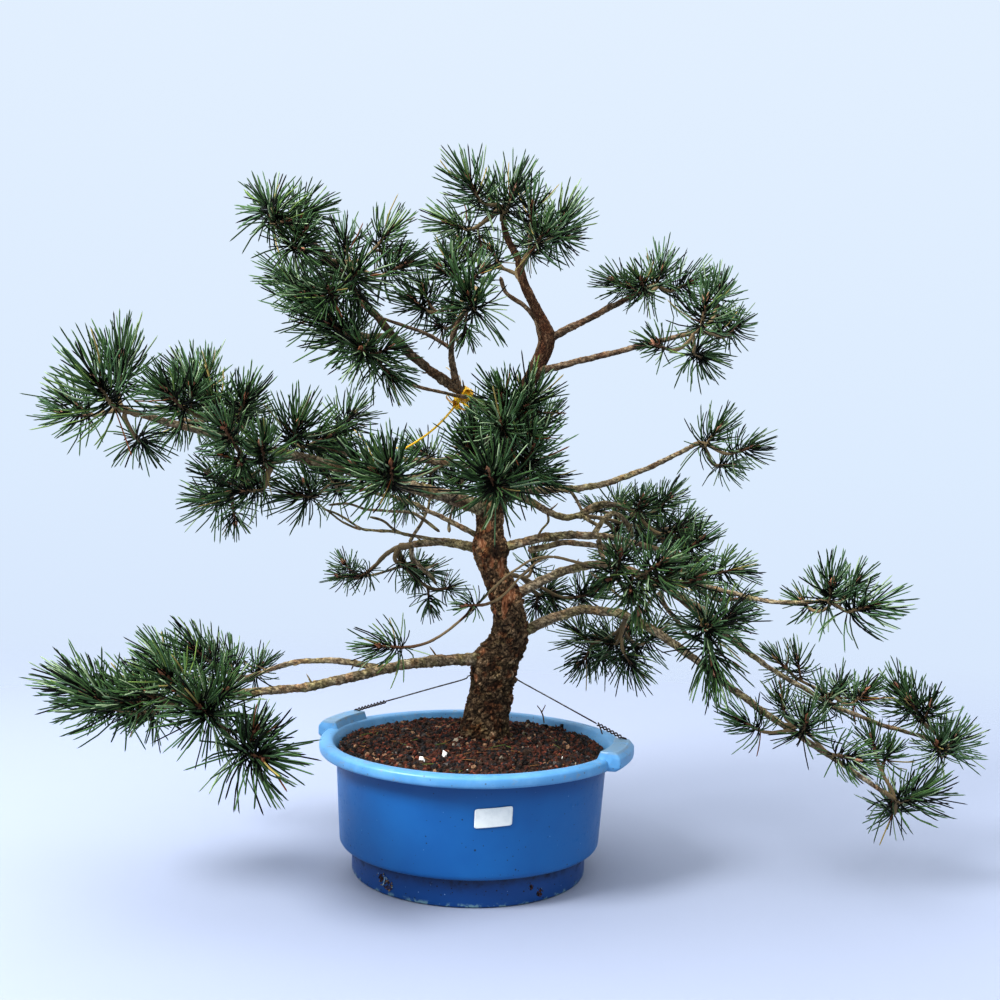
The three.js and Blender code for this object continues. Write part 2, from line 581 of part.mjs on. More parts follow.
// One steel wire from lug to lug, round the back of the trunk
function wireSolid() {
  const [left, right] = WIRE.ends.map(vector);
  const loop = Array.from({ length: WIRE.loopPoints }, (_, i) => {
    const azimuth = radians(WIRE.loopFrom + WIRE.loopStep * i);
    return polar(WIRE.loopRadius, azimuth, WIRE.loopHeight).add(vector([...WIRE.loopCentre, 0]));
  });
  const stretch = (from, to) => {
    const twistShare = WIRE.twistLength / from.distanceTo(to);
    return [from, from.clone().lerp(to, twistShare), from.clone().lerp(to, WIRE.straightTo)];
  };
  const points = [...stretch(left, loop[0]), ...loop, ...stretch(right, loop.at(-1)).reverse()];
  const curve = new THREE.CatmullRomCurve3(points, false, 'centripetal');
  const length = curve.getLength();
  const radiusAt = (share) => {
    const fromEnd = Math.min(share, 1 - share) * length;
    return fromEnd < WIRE.twistLength ? WIRE.twistRadius : WIRE.radius;
  };
  occupy('guy_wire', curve.getSpacedPoints(WIRE.steps), radiusAt);
  return toSolid(tube(curve, WIRE.steps, WIRE.sides, radiusAt));
}

// A plastic ribbon round a bough, with its knot and a string that hangs from it
function tieSolid() {
  const limb = limbs.get(TIE.limb);
  const centre = limb.pointAt(TIE.at);
  const along = limb.tangentAt(TIE.at);
  const inner = limb.radiusAt(TIE.at) + TIE.looseness;
  const half = TIE.width / 2;
  const outer = inner + TIE.thickness;
  const section = [[inner, -half], [outer, -half], [outer, half], [inner, half], [inner, -half]]
    .map(([radius, height]) => new THREE.Vector2(radius, height));
  const turn = new THREE.Quaternion().setFromUnitVectors(vector([0, 1, 0]), along);
  const ring = new THREE.LatheGeometry(section, TIE.segments)
    .applyQuaternion(turn)
    .translate(...centre.toArray());
  const knotCentre = centre.clone();
  knotCentre.y -= outer + TIE.knot[1] / 2 - TIE.knotSunk;
  const knot = new THREE.BoxGeometry(...TIE.knot).translate(...knotCentre.toArray());
  const string = new LimbCurve(knotCentre, vector(TIE.stringEnd), { arch: TIE.stringArch });
  return toSolid(ring).add(toSolid(knot)).add(toSolid(tube(string, 4, 5, () => TIE.stringRadius)));
}

// The model

const tree = new THREE.Group();

function addPiece(name, solid, colour, roughness, metalness = 0) {
  const material = new THREE.MeshStandardMaterial({ color: colour, roughness, metalness });
  const mesh = new THREE.Mesh(toGeometry(solid), material);
  mesh.name = name;
  tree.add(mesh);
}

addPiece('pot', potSolid(), COLOURS.potBody, 0.35);
addPiece('soil', soilSolid(), COLOURS.soil, 0.95);
addPiece('label', labelSolid(), COLOURS.label, 0.5);
addPiece('guy_wire', wireSolid(), COLOURS.steel, 0.4, 1);
addPiece('yellow_tie', tieSolid(), COLOURS.yellow, 0.5);
addPiece('trunk', limbs.get('trunk').solid, COLOURS.bark, 0.9);
BOUGHS.forEach(({ name }) => addPiece(name, limbs.get(name).solid, COLOURS.twigBark, 0.85));
MASSES.map(planMass).forEach((plan) => addPiece(plan.name, growMass(plan), COLOURS.needles, 0.6));

export default tree;
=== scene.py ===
import math
import bpy
import numpy as np
from mathutils import Matrix, Vector


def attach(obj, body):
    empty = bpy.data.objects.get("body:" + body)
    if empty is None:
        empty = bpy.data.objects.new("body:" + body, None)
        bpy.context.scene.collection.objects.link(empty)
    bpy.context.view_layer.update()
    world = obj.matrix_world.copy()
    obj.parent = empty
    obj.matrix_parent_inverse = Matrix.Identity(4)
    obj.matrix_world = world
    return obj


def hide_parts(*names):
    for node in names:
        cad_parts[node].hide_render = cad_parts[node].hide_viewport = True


# A young Scots pine in a round training pot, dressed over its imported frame.
# Places and sizes are in millimetres, as the frame was drawn, and meshes are written in metres.

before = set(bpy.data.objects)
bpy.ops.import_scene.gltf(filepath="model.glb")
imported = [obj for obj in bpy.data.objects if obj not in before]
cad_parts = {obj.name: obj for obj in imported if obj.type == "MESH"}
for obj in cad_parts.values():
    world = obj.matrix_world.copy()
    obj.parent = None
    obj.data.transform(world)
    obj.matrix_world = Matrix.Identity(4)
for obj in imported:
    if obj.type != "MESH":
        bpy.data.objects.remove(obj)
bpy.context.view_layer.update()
metre = 0.001
up = np.array([0.0, 0.0, 1.0])
golden = math.pi * (3 - math.sqrt(5))  # angle from one pair of needles to the next

# Camera: level, turned a touch to the right and rolled a little, as the photograph was taken
camera = {"place": (0.0, -1.3032, 0.4405), "yaw": 0.019, "roll": 0.031, "lens": 38.91, "sensor": 36.0}


def setCamera():
    data = bpy.data.cameras.new("camera")
    data.lens = camera["lens"]
    data.sensor_width = camera["sensor"]
    data.clip_start, data.clip_end = 0.01, 60.0
    eye = bpy.data.objects.new("camera", data)
    bpy.context.scene.collection.objects.link(eye)
    ahead = Vector((math.sin(camera["yaw"]), math.cos(camera["yaw"]), 0.0))
    level = Vector((math.cos(camera["yaw"]), -math.sin(camera["yaw"]), 0.0))
    right = level * math.cos(camera["roll"]) + Vector((0, 0, 1)) * math.sin(camera["roll"])
    turned = Matrix((right, right.cross(ahead), -ahead)).transposed().to_4x4()
    eye.matrix_world = Matrix.Translation(camera["place"]) @ turned
    bpy.context.scene.camera = eye


setCamera()
bpy.context.scene.view_settings.view_transform = "Standard"
bpy.context.scene.view_settings.gamma = 0.85  # the photograph's firm contrast


# Small helpers on arrays
def unit(v):
    return v / np.maximum(np.linalg.norm(v, axis=-1, keepdims=True), 1e-9)


def ease(low, high, value):  # 0 below low, 1 above high, and a smooth step between
    share = np.clip((value - low) / (high - low), 0.0, 1.0)
    return share * share * (3 - 2 * share)


def scatter(cells, seed):  # a pseudo-random value from 0 to 1 for each whole-numbered cell
    grid = cells.astype(np.int64).astype(np.uint32)
    mixed = grid[..., 0] * np.uint32(73856093) ^ grid[..., 1] * np.uint32(19349663)
    mixed = mixed ^ grid[..., 2] * np.uint32(83492791) ^ np.uint32(seed * 7919 + 101)
    for shift, factor in ((15, 2246822519), (13, 3266489917), (16, 668265263)):
        mixed = (mixed ^ (mixed >> np.uint32(shift))) * np.uint32(factor)
    return (mixed ^ (mixed >> np.uint32(15))) / 4294967296.0


def swell(points, size, seed=0):  # smooth noise from -1 to 1: random corner values blended over cells
    place = points / size
    cell = np.floor(place)
    share = place - cell
    share = share * share * (3 - 2 * share)
    total = 0.0
    for corner in np.ndindex(2, 2, 2):
        weight = np.prod(np.where(np.array(corner, bool), share, 1 - share), axis=-1)
        total = total + weight * scatter(cell + corner, seed)
    return total * 2 - 1


def drift(points, size, seed):  # three such noises as one vector for each point
    return np.stack([swell(points, size, seed + i) for i in range(3)], axis=-1)


def plates(points, size, seed):
    # One random point in each cell: how much nearer the nearest of them is than the second
    # nearest, the nearest one's own random value, and the way to it in cells
    place = points / size
    cell = np.floor(place)
    near = np.full(place.shape[:-1], 9.0)
    second = near.copy()
    value = np.zeros_like(near)
    way = np.zeros_like(place)
    for step in np.ndindex(3, 3, 3):
        other = cell + np.array(step) - 1
        heart = other + np.stack([scatter(other, seed + i) for i in range(3)], axis=-1)
        gap = np.linalg.norm(place - heart, axis=-1)
        closer = gap < near
        second = np.where(closer, near, np.minimum(second, gap))
        value = np.where(closer, scatter(other, seed + 3), value)
        way = np.where(closer[..., None], place - heart, way)
        near = np.minimum(near, gap)
    return second - near, value, way


def travelled(line):  # how far along the line each of its points lies
    return np.concatenate([[0], np.cumsum(np.linalg.norm(np.diff(line, axis=0), axis=1))])


def lineLength(line):
    return np.linalg.norm(np.diff(line, axis=0), axis=1).sum()


def outward(paths, sides, spin=0.0, first=None):
    # Unit vectors across each path at every station: cos a times one across vector plus sin a
    # times the other, both square to the path, for a going round in equal steps
    along = unit(np.gradient(paths, axis=1))
    chord = unit(paths[:, -1] - paths[:, 0])
    if first is None:
        helper = np.where(np.abs(chord[:, 2:]) < 0.8, up, np.array([1.0, 0.0, 0.0]))
        first = np.cross(chord, helper)
    first = np.broadcast_to(first, chord.shape)[:, None]
    across = unit(first - np.sum(first * along, axis=-1, keepdims=True) * along)
    over = np.cross(along, across)
    turn = (circle(sides) + np.reshape(spin, (-1, 1, 1)))[..., None]
    return np.cos(turn) * across[:, :, None] + np.sin(turn) * over[:, :, None]


def circle(count):  # that many angles in equal steps, once round
    return np.arange(count) / count * 2 * math.pi


def ringWalls(rings, sides, first=0):
    # Two triangles for each square between one ring of points and the next
    here = np.arange(sides)
    ring = (np.arange(rings - 1) * sides)[:, None] + first
    a, b = ring + here, ring + (here + 1) % sides
    return np.stack([a, b, b + sides, a, b + sides, a + sides], axis=-1).reshape(-1, 3)


def fan(heart, ring, sides, flip=False):  # triangles from one point to the ring that starts at that index
    here = ring + np.arange(sides)
    beside = ring + (np.arange(sides) + 1) % sides
    return np.stack([0 * here + heart, *((here, beside) if flip else (beside, here))], axis=-1)


def tubes(paths, radii, sides, spin=0.0, first=None):
    # A closed tube along each path: its first and last stations are single points, and each
    # station between is a ring, the station plus its radius times the outward vectors
    count, stations = paths.shape[:2]
    rings = stations - 2
    radii = radii if np.ndim(radii) == 3 else np.asarray(radii)[..., None]
    radii = np.broadcast_to(radii, (count, stations, sides))
    around = paths[:, :, None] + radii[..., None] * outward(paths, sides, spin, first)
    body = around[:, 1:-1].reshape(count, rings * sides, 3)
    points = np.concatenate([paths[:, :1], body, paths[:, -1:]], axis=1)
    end = 1 + rings * sides
    faces = np.concatenate([fan(0, 1, sides), ringWalls(rings, sides, 1), fan(end, end - sides, sides, True)])
    faces = faces[None] + (np.arange(count) * (end + 1))[:, None, None]
    return points.reshape(-1, 3), faces.reshape(-1, 3)


def ringMarks(**marks):  # marks given for a tube's full grid, fitted to its single points at both ends
    middle = 0.5
    return {key: np.concatenate([[middle], grid[1:-1].ravel(), [middle]]) for key, grid in marks.items()}


class Heap:  # gathers surfaces of one kind, with a tint for each face and marks for each point
    def __init__(self):
        self.points, self.faces, self.tints, self.marks, self.size = [], [], [], [], 0

    def add(self, points, faces, tints=0, **marks):
        self.points.append(points)
        self.faces.append(faces + self.size)
        self.tints.append(np.broadcast_to(tints, len(faces)))
        self.marks.append({key: np.broadcast_to(value, len(points)) for key, value in marks.items()})
        self.size += len(points)

    def piece(self, name, slot, materials, nodes=(), flat=False):
        points = np.concatenate(self.points) * metre
        faces = np.concatenate(self.faces)
        mesh = bpy.data.meshes.new(name)
        mesh.vertices.add(len(points))
        mesh.vertices.foreach_set("co", points.ravel())
        mesh.loops.add(faces.size)
        mesh.loops.foreach_set("vertex_index", faces.ravel().astype(np.int32))
        mesh.polygons.add(len(faces))
        mesh.polygons.foreach_set("loop_start", np.arange(0, faces.size, 3, dtype=np.int32))
        mesh.polygons.foreach_set("material_index", np.concatenate(self.tints).astype(np.int32))
        mesh.polygons.foreach_set("use_smooth", np.full(len(faces), not flat))
        for key in self.marks[0]:
            mark = mesh.attributes.new(key, "FLOAT", "POINT")
            mark.data.foreach_set("value", np.concatenate([m[key] for m in self.marks]).astype(np.float32))
        mesh.update(calc_edges=True)
        for material in materials:
            mesh.materials.append(material)
        thing = bpy.data.objects.new(name, mesh)
        bpy.context.scene.collection.objects.link(thing)
        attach(thing, "root")
        if nodes:
            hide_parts(*nodes)
        print(name, len(faces), "triangles")
        return thing


# Shader maths
class Socket:  # a node's output, so that plain arithmetic on it adds Math nodes
    def __init__(self, paint, out):
        self.paint, self.out = paint, out

    def maths(self, operation, *values):
        return self.paint.add("ShaderNodeMath", {"operation": operation}, values)

    def __add__(self, other):
        return self.maths("ADD", self, other)

    def __sub__(self, other):
        return self.maths("SUBTRACT", self, other)

    def __rsub__(self, other):
        return self.maths("SUBTRACT", other, self)

    def __mul__(self, other):
        return self.maths("MULTIPLY", self, other)

    __radd__, __rmul__ = __add__, __mul__


def tint(red, green, blue):  # a colour as a screen shows it, 0 to 255, made linear
    screen = np.array([red, green, blue]) / 255
    linear = np.where(screen < 0.04045, screen / 12.92, ((screen + 0.055) / 1.055) ** 2.4)
    return (*(float(part) for part in linear), 1.0)


class Paint:
    def __init__(self, name, colour=(0.5, 0.5, 0.5, 1.0), roughness=0.5, metallic=0.0, specular=0.5):
        self.material = bpy.data.materials.new(name)
        self.material.use_nodes = True
        self.tree = self.material.node_tree
        self.shader = self.tree.nodes["Principled BSDF"]
        self.shader.inputs["Base Color"].default_value = colour
        self.shader.inputs["Roughness"].default_value = roughness
        self.shader.inputs["Metallic"].default_value = metallic
        self.shader.inputs["Specular IOR Level"].default_value = specular

    def add(self, kind, settings, values, output=0):
        node = self.tree.nodes.new(kind)
        for key, value in settings.items():
            if key == "stops":
                for i, (place, colour) in enumerate(value):
                    stop = node.color_ramp.elements[i] if i < 2 else node.color_ramp.elements.new(place)
                    stop.position, stop.color = place, colour
            else:
                setattr(node, key, value)
        for key, value in values.items() if isinstance(values, dict) else enumerate(values):
            if isinstance(value, Socket):
                self.tree.links.new(value.out, node.inputs[key])
            else:
                node.inputs[key].default_value = value
        return Socket(self, node.outputs[output])

    def place(self):
        return self.add("ShaderNodeTexCoord", {}, (), "Object")

    def stretched(self, *factors):  # a factor under 1 draws a pattern out that way
        return self.vectors("MULTIPLY", self.place(), factors)

    def vectors(self, operation, first, second):
        return self.add("ShaderNodeVectorMath", {"operation": operation}, (first, second))

    def along(self, axis):
        return self.add("ShaderNodeSeparateXYZ", {}, (self.place(),), axis)

    def height(self):
        return self.along("Z")

    def fromMiddle(self):  # the square of the distance from the upright through the pot's middle
        x, y = self.along("X"), self.along("Y")
        return x * x + y * y

    def mark(self, name):
        return self.add("ShaderNodeAttribute", {"attribute_name": name}, {}, "Fac")

    def pattern(self, kind, size, place=None, output=0, **values):  # size is a cell's width in millimetres
        values = {"Vector": place or self.place(), "Scale": 1 / (size * metre), **values}
        return self.add("ShaderNodeTex" + kind, {}, values, output)

    def part(self, colour, index=0):  # a colour's red, green or blue
        return self.add("ShaderNodeSeparateColor", {}, (colour,), index)

    def noise(self, size, detail=3.0, roughness=0.55, place=None):
        return self.pattern("Noise", size, place, Detail=detail, Roughness=roughness)

    def warped(self, size, amount):  # places moved at random by up to about half of amount, in millimetres
        centred = self.vectors("SUBTRACT", self.pattern("Noise", size, output="Color"), (0.5, 0.5, 0.5))
        return self.vectors("ADD", self.place(), self.vectors("MULTIPLY", centred, (amount * metre,) * 3))

    def flakes(self, size, place):  # one random value from 0 to 1 for each cell of that size
        return self.part(self.pattern("Voronoi", size, place, "Color"))

    def spots(self, size, wanted, width):  # dots up to width across, at a share of a net's points
        gap = self.pattern("Voronoi", size, output="Distance")
        colour = self.pattern("Voronoi", size, output="Color")
        chance, spread = self.part(colour), self.part(colour, 1)
        reach = (spread * 0.5 + 0.5) * (0.5 * width / size)
        return self.band(reach - gap, 0.0, 0.02) * self.band(chance, 1 - wanted, 1.001 - wanted)

    def band(self, value, low, high):
        return self.add("ShaderNodeMapRange", {"interpolation_type": "SMOOTHSTEP"}, (value, low, high))

    def ramp(self, value, stops):
        return self.add("ShaderNodeValToRGB", {"stops": stops}, (value,))

    def mix(self, share, first, second, blend="MIX"):
        settings = {"data_type": "RGBA", "blend_type": blend}
        return self.add("ShaderNodeMix", settings, {0: share, 6: first, 7: second}, 2)

    def stain(self, share, colour, *factors):  # the colour times the factors, by the share
        return self.mix(share, colour, (*factors, 1.0), "MULTIPLY")

    def feed(self, name, value):
        self.tree.links.new(value.out, self.shader.inputs[name])
        return self

    def bump(self, value, depth):  # depth in millimetres
        values = {"Height": value, "Distance": depth * metre, "Strength": 1.0}
        return self.feed("Normal", self.add("ShaderNodeBump", {}, values))


# The tree's plan, the same as that of the solids: the trunk, its boughs, and the masses of needles
trunk = {
    # stations from the flat cut at the soil to the tip: x, y, z, radius
    "stations": [
        (13, 30, 150, 31.5), (15, 30, 170, 28.5), (22, 28, 206, 27.5), (25, 26, 235, 29.5), (35, 25, 256, 26),
        (41, 22, 276, 22), (40, 20, 302, 20.5), (33, 18, 327, 19.5), (21, 15, 352, 17.5), (15, 12, 376, 20),
        (14, 12, 396, 16), (14, 12, 419, 16.5), (18, 14, 445, 15.5), (26, 15, 490, 13.5), (37, 20, 540, 12),
        (56, 22, 585, 11), (76, 24, 628, 10.5), (78, 24, 645, 9.5), (65, 24, 672, 7.7), (47, 20, 705, 6.7),
        (38, 18, 735, 5.5), (24, 14, 760, 4.8), (18, 12, 780, 4.2),
    ],
    "lobes": 5, "lobeDepth": 0.1, "flareHeight": 45, "flareDepth": 3.0, "sides": 176, "rings": 430,
    "cutTop": 150.5, "sunk": 4, "smoothFrom": 500, "smoothTo": 590, "slimmer": 0.16, "smoother": 0.5,
}
# name, what it grows on and where, tip, bends, radii
boughs = [
    ("low_left", "trunk", 243, (-260, -140, 225), {"arch": 3, "sway": -4, "swing": 6}, (8.5, 4.4)),
    ("low_left_back", "low_left", 0.46, (-255, -5, 225), {"arch": 14, "sway": 6}, (4.5, 3)),
    ("left_stub", "trunk", 375, (-85, 75, 380), {"arch": 8}, (7, 4.5)),
    ("left_thin", "trunk", 388, (-160, 30, 452), {"arch": 9, "sway": -7, "wander": 5}, (4, 2.2)),
    ("left_main", "trunk", 428, (-365, -145, 520), {"sway": 14, "wander": 10}, (9.8, 3.8)),
    ("left_upper", "trunk", 475, (-205, -50, 497), {"sway": -7, "swing": 3}, (4.5, 2.8)),
    ("upper_left", "trunk", 530, (-235, -70, 755),
     {"arch": -20, "sway": 13, "swing": -5, "ripple": 5}, (8, 3)),
    ("upper_inner", "upper_left", 0.22, (-20, -60, 660), {"arch": 7, "sway": -14}, (5, 3)),
    ("upper_right", "trunk", 640, (200, 50, 710), {"sway": -4}, (5.5, 3.2)),
    ("right_top", "trunk", 597, (230, -40, 640), {"wander": -3}, (5, 3)),
    ("right_high", "trunk", 457, (265, 60, 515), {"arch": -23, "sway": -6}, (6, 3)),
    ("right_loop", "trunk", 436, (185, 60, 435),
     {"arch": -4, "sway": -8, "swing": 4, "wander": 7, "ripple": 9}, (6, 3.2)),
    ("right_mid", "trunk", 377, (205, 20, 390), {"arch": 18, "sway": -36, "wander": 8}, (7.2, 3.4)),
    ("right_arm", "trunk", 318, (245, -90, 330), {"arch": 44, "sway": 12, "wander": 10}, (7.2, 3.6)),
    ("right_far", "right_arm", 0.78, (390, -70, 335), {"arch": -3, "sway": 8, "swing": 4}, (3.4, 2.4)),
    ("right_long", "right_arm", 0.86, (575, 20, 160), {"arch": -28, "sway": -5}, (4, 2.4)),
    ("low_right", "trunk", 266, (480, -60, 115),
     {"arch": 76, "sway": -5, "swing": 23, "wander": 27, "ripple": 6}, (7.5, 2.8)),
    ("back", "trunk", 500, (10, 150, 515), {"arch": 12, "sway": 8}, (6, 3.2)),
]
# name, the part of the crown it belongs to, what it grows on and where, and the end and the
# size of each leading shoot's spray
masses = [
    ("low_left", "low_left", "low_left", 1, [
        (-270, -225, 225, 1.05), (-205, -235, 180, 1.1), (-400, -160, 220, 0.95), (-430, -130, 228, 0.9),
        (-315, -190, 250, 0.9), (-375, -110, 220, 0.9), (-255, -190, 235, 0.85)]),
    ("low_left_back", "low_left", "low_left_back", 1, [
        (-325, -40, 255, 0.85), (-305, 50, 230, 0.7), (-270, 70, 220, 0.65), (-390, 40, 235, 0.85)]),
    ("crossing", "low_left", "right_arm", 0.45, [(-104, -100, 274, 0.72), (-10, -80, 320, 0.42)]),
    ("back_left", "back", "left_stub", 1, [
        (-184, 152, 332, 0.5), (-62, 141, 341, 0.58), (-85, 100, 350, 0.62), (-35, 160, 320, 0.5)]),
    ("left_inner", "left", "left_thin", 1, [
        (-215, -40, 440, 0.85), (-195, 30, 472, 0.7), (-180, 75, 455, 0.7)]),
    ("left_far", "left", "left_main", 1, [
        (-395, -190, 550, 1.05), (-370, -110, 490, 0.75), (-450, -120, 535, 0.65), (-395, -120, 580, 0.95)]),
    ("left_top", "left", "left_main", 0.74, [
        (-330, -70, 565, 0.95), (-290, -130, 535, 0.8), (-290, 50, 545, 0.7), (-375, 0, 550, 0.8),
        (-326, -180, 541, 0.75), (-252, -150, 540, 0.75)]),
    ("left_hanging", "left", "left_main", 0.6, [
        (-270, -100, 440, 0.8), (-325, 0, 430, 0.85), (-265, -30, 455, 0.7), (-229, -170, 488, 0.7),
        (-263, -190, 505, 0.65)]),
    ("left_front", "left", "left_main", 0.3, [(-90, -205, 470, 1), (-130, -150, 470, 0.95)]),
    ("left_upper", "left", "left_upper", 1, [
        (-205, -100, 515, 1), (-160, 30, 540, 0.75), (-180, -60, 505, 0.8)]),
    ("crown_left", "crown", "upper_left", 1, [
        (-225, -90, 745, 0.86), (-250, -60, 770, 0.86), (-210, -20, 775, 0.8), (-205, -110, 710, 0.84)]),
    ("crown_left_mid", "crown", "upper_left", 0.8, [
        (-140, -130, 680, 0.92), (-240, 0, 700, 0.82), (-185, -40, 710, 0.78), (-118, -20, 754, 0.74),
        (-169, -20, 742, 0.72), (-95, -60, 707, 0.7), (-166, -150, 658, 0.7)]),
    ("crown_left_low", "crown", "upper_left", 0.5, [
        (-170, -100, 630, 1), (-105, -70, 580, 0.8), (-170, 20, 640, 0.8), (-131, -140, 597, 0.8),
        (-213, -60, 663, 0.85)]),
    ("crown_inner", "crown", "upper_inner", 1, [
        (-86, -11, 676, 0.75), (-18, -100, 664, 0.95), (-58, 40, 655, 0.65), (-45, 32, 735, 0.8)]),
    ("apex", "apex", "trunk", 780, [
        (-24, -24, 816, 0.85), (30, 8, 814, 0.9), (-48, 30, 780, 0.75), (5, 35, 811, 0.8)]),
    ("apex_right", "apex", "trunk", 725, [(65, -60, 750, 0.76), (95, 40, 795, 0.88), (50, -50, 780, 0.75)]),
    ("apex_back", "apex", "trunk", 700, [(5, 100, 765, 0.7), (-35, 80, 770, 0.68), (55, 110, 790, 0.72)]),
    ("upper_right", "apex", "upper_right", 1, [
        (160, 30, 715, 0.64), (220, 60, 735, 0.82), (185, -20, 705, 0.62), (255, 50, 720, 0.72)]),
    ("right_top", "apex", "right_top", 1, [
        (250, -80, 670, 0.82), (192, -85, 622, 0.55), (310, 20, 665, 0.58), (262, -15, 618, 0.78),
        (285, 10, 705, 0.68)]),
    ("right_high", "right", "right_high", 1, [
        (295, 55, 535, 0.76), (335, 40, 515, 0.62), (325, 100, 495, 0.6)]),
    ("right_mid", "right", "right_loop", 1, [
        (205, 80, 425, 0.62), (250, 120, 450, 0.68), (255, 50, 410, 0.64), (290, 110, 370, 0.6),
        (195, 0, 445, 0.52)]),
    ("right_back", "right", "right_loop", 0.6, [
        (240, 210, 390, 0.6), (195, 190, 445, 0.65), (290, 180, 420, 0.65)]),
    ("right_front", "right", "right_arm", 0.5, [
        (155, -130, 385, 0.7), (195, -165, 380, 0.8), (235, -140, 362, 0.66)]),
    ("right_inner", "right", "right_mid", 1, [
        (325, 60, 360, 0.75), (260, -30, 400, 0.7), (325, 0, 330, 0.5)]),
    ("right_low", "right", "right_arm", 1, [
        (250, -140, 310, 0.95), (295, -60, 315, 0.85), (260, -130, 265, 0.9)]),
    ("right_far", "low_right", "right_far", 1, [
        (400, -90, 355, 0.82), (440, -105, 335, 0.85), (390, -10, 330, 0.58), (445, -40, 355, 0.68)]),
    ("low_right_long", "low_right", "right_long", 1, [
        (535, 10, 210, 0.75), (598, 30, 160, 0.85), (551, -32, 166, 0.7), (540, 60, 215, 0.7)]),
    ("low_right_mid", "low_right", "right_long", 0.6, [
        (405, -70, 225, 0.72), (480, 10, 220, 0.65), (380, 40, 250, 0.56), (465, 60, 215, 0.68)]),
    ("low_right_front", "low_right", "low_right", 0.72, [
        (310, -70, 195, 0.65), (370, -110, 205, 0.74), (370, -10, 210, 0.6), (425, -110, 165, 0.66)]),
    ("low_right_tip", "low_right", "low_right", 1, [
        (520, -60, 115, 0.85), (502, -20, 92, 0.7), (480, -15, 165, 0.6)]),
    ("under_right", "back", "low_right", 0.3, [
        (135, 120, 270, 0.75), (170, 90, 265, 0.75), (200, 60, 235, 0.7), (240, 130, 270, 0.75),
        (170, 140, 235, 0.75)]),
    ("back_right", "back", "trunk", 350, [
        (100, 140, 320, 0.75), (155, 150, 325, 0.75), (75, 110, 365, 0.6)]),
    ("front", "front", "trunk", 485, [
        (10, -200, 465, 1.05), (55, -130, 495, 0.9), (70, -50, 465, 0.8), (-10, -110, 495, 0.9)]),
    ("front_high", "front", "trunk", 550, [
        (20, -110, 555, 0.85), (55, -100, 555, 0.9), (20, -160, 520, 0.9)]),
    ("back_high", "back", "back", 1, [
        (35, 210, 525, 0.8), (85, 190, 470, 0.75), (-15, 180, 550, 0.8), (85, 170, 550, 0.75)]),
    ("back_mid", "back", "back", 0.6, [
        (-130, 150, 475, 0.75), (-85, 180, 505, 0.75), (-35, 190, 440, 0.7)]),
]
stem = {
    "share": 0.22, "shortest": 14, "longest": 45, "sideShare": 0.7, "sideRadius": 3,
    "slim": {"crossing": 0.55}, "rise": {"crossing": 0.5},
}
twig = {
    "sunk": 3, "sunkMore": 0.25, "baseShare": 0.75, "tipRadius": 1.7, "leave": 0.3, "arrive": 0.35,
    "uplift": 0.45, "jitter": 0.3, "coreLength": 27, "tipShare": 0.9,
}


def throughPoints(points, count):
    # A smooth curve through all the points: between two of them a cubic whose end slopes come
    # from the neighbours, weighed by the square roots of the distances. Returns count points
    # on each stretch, the last point included.
    points = np.asarray(points, float)
    ends = [2 * points[:1] - points[1:2], points, 2 * points[-1:] - points[-2:-1]]
    p0, p1, p2, p3 = (np.concatenate(ends)[i:len(points) - 1 + i] for i in range(4))
    gaps = (p1 - p0, p2 - p1, p3 - p2)
    d0, d1, d2 = (np.sqrt(np.linalg.norm(gap, axis=1, keepdims=True)) for gap in gaps)
    m1 = d1 * ((p1 - p0) / d0 - (p2 - p0) / (d0 + d1) + (p2 - p1) / d1)
    m2 = d1 * ((p2 - p1) / d1 - (p3 - p1) / (d1 + d2) + (p3 - p2) / d2)
    t = (np.arange(count) / count)[None, :, None]
    p1, p2, m1, m2 = (part[:, None] for part in (p1, p2, m1, m2))
    inner = (2 * t**3 - 3 * t**2 + 1) * p1 + (t**3 - 2 * t**2 + t) * m1
    inner = inner + (3 * t**2 - 2 * t**3) * p2 + (t**3 - t**2) * m2
    return np.concatenate([inner.reshape(-1, 3), points[-1:]])


def evenly(line, count):  # count points at equal distances along a line of points
    far = travelled(line)
    wanted = np.linspace(0, far[-1], count)
    return np.stack([np.interp(wanted, far, line[:, i]) for i in range(3)], axis=1)


class Limb:
    # A line of points, each with its radius and its key: a height on the trunk, a share on a bough
    def __init__(self, line, radii, keys):
        self.line, self.radii, self.keys, self.end = line, radii, keys, keys[-1]
        self.length = lineLength(line)

    def point(self, key):
        return np.array([np.interp(key, self.keys, self.line[:, i]) for i in range(3)])

    def radius(self, key):
        return float(np.interp(key, self.keys, self.radii))

    def tangent(self, key):
        step = (self.keys[-1] - self.keys[0]) / 400
        return unit(self.point(key + step) - self.point(key - step))


def planLimbs():
    stations = np.array(trunk["stations"], float)
    perStretch = 24
    line = throughPoints(stations[:, :3], perStretch)
    place = np.arange(len(line)) / perStretch
    heights, radii = (np.interp(place, np.arange(len(stations)), stations[:, i]) for i in (2, 3))
    planned = {"trunk": Limb(line, radii, heights)}
    share = np.linspace(0, 1, 401)[:, None]
    for name, parent, at, tip, bends, (thick, thin) in boughs:
        # a straight line, bent up by arch and sideways by sway in one bow, up by swing and
        # sideways by wander in an S, and up by ripple in three half waves
        bow, ess, wave = (np.sin(k * math.pi * share) for k in (1, 2, 3))
        base = planned[parent].point(at)
        run = np.array(tip, float) - base
        side = unit(np.cross(up, run))
        rise = bends.get("arch", 0) * bow + bends.get("swing", 0) * ess + bends.get("ripple", 0) * wave
        aside = bends.get("sway", 0) * bow + bends.get("wander", 0) * ess
        line = base + share * run + up * rise + side * aside
        keys = travelled(line) / travelled(line)[-1]
        planned[name] = Limb(line, thick + (thin - thick) * keys**0.8, keys)
    return planned


limbs = planLimbs()
print("limbs planned")

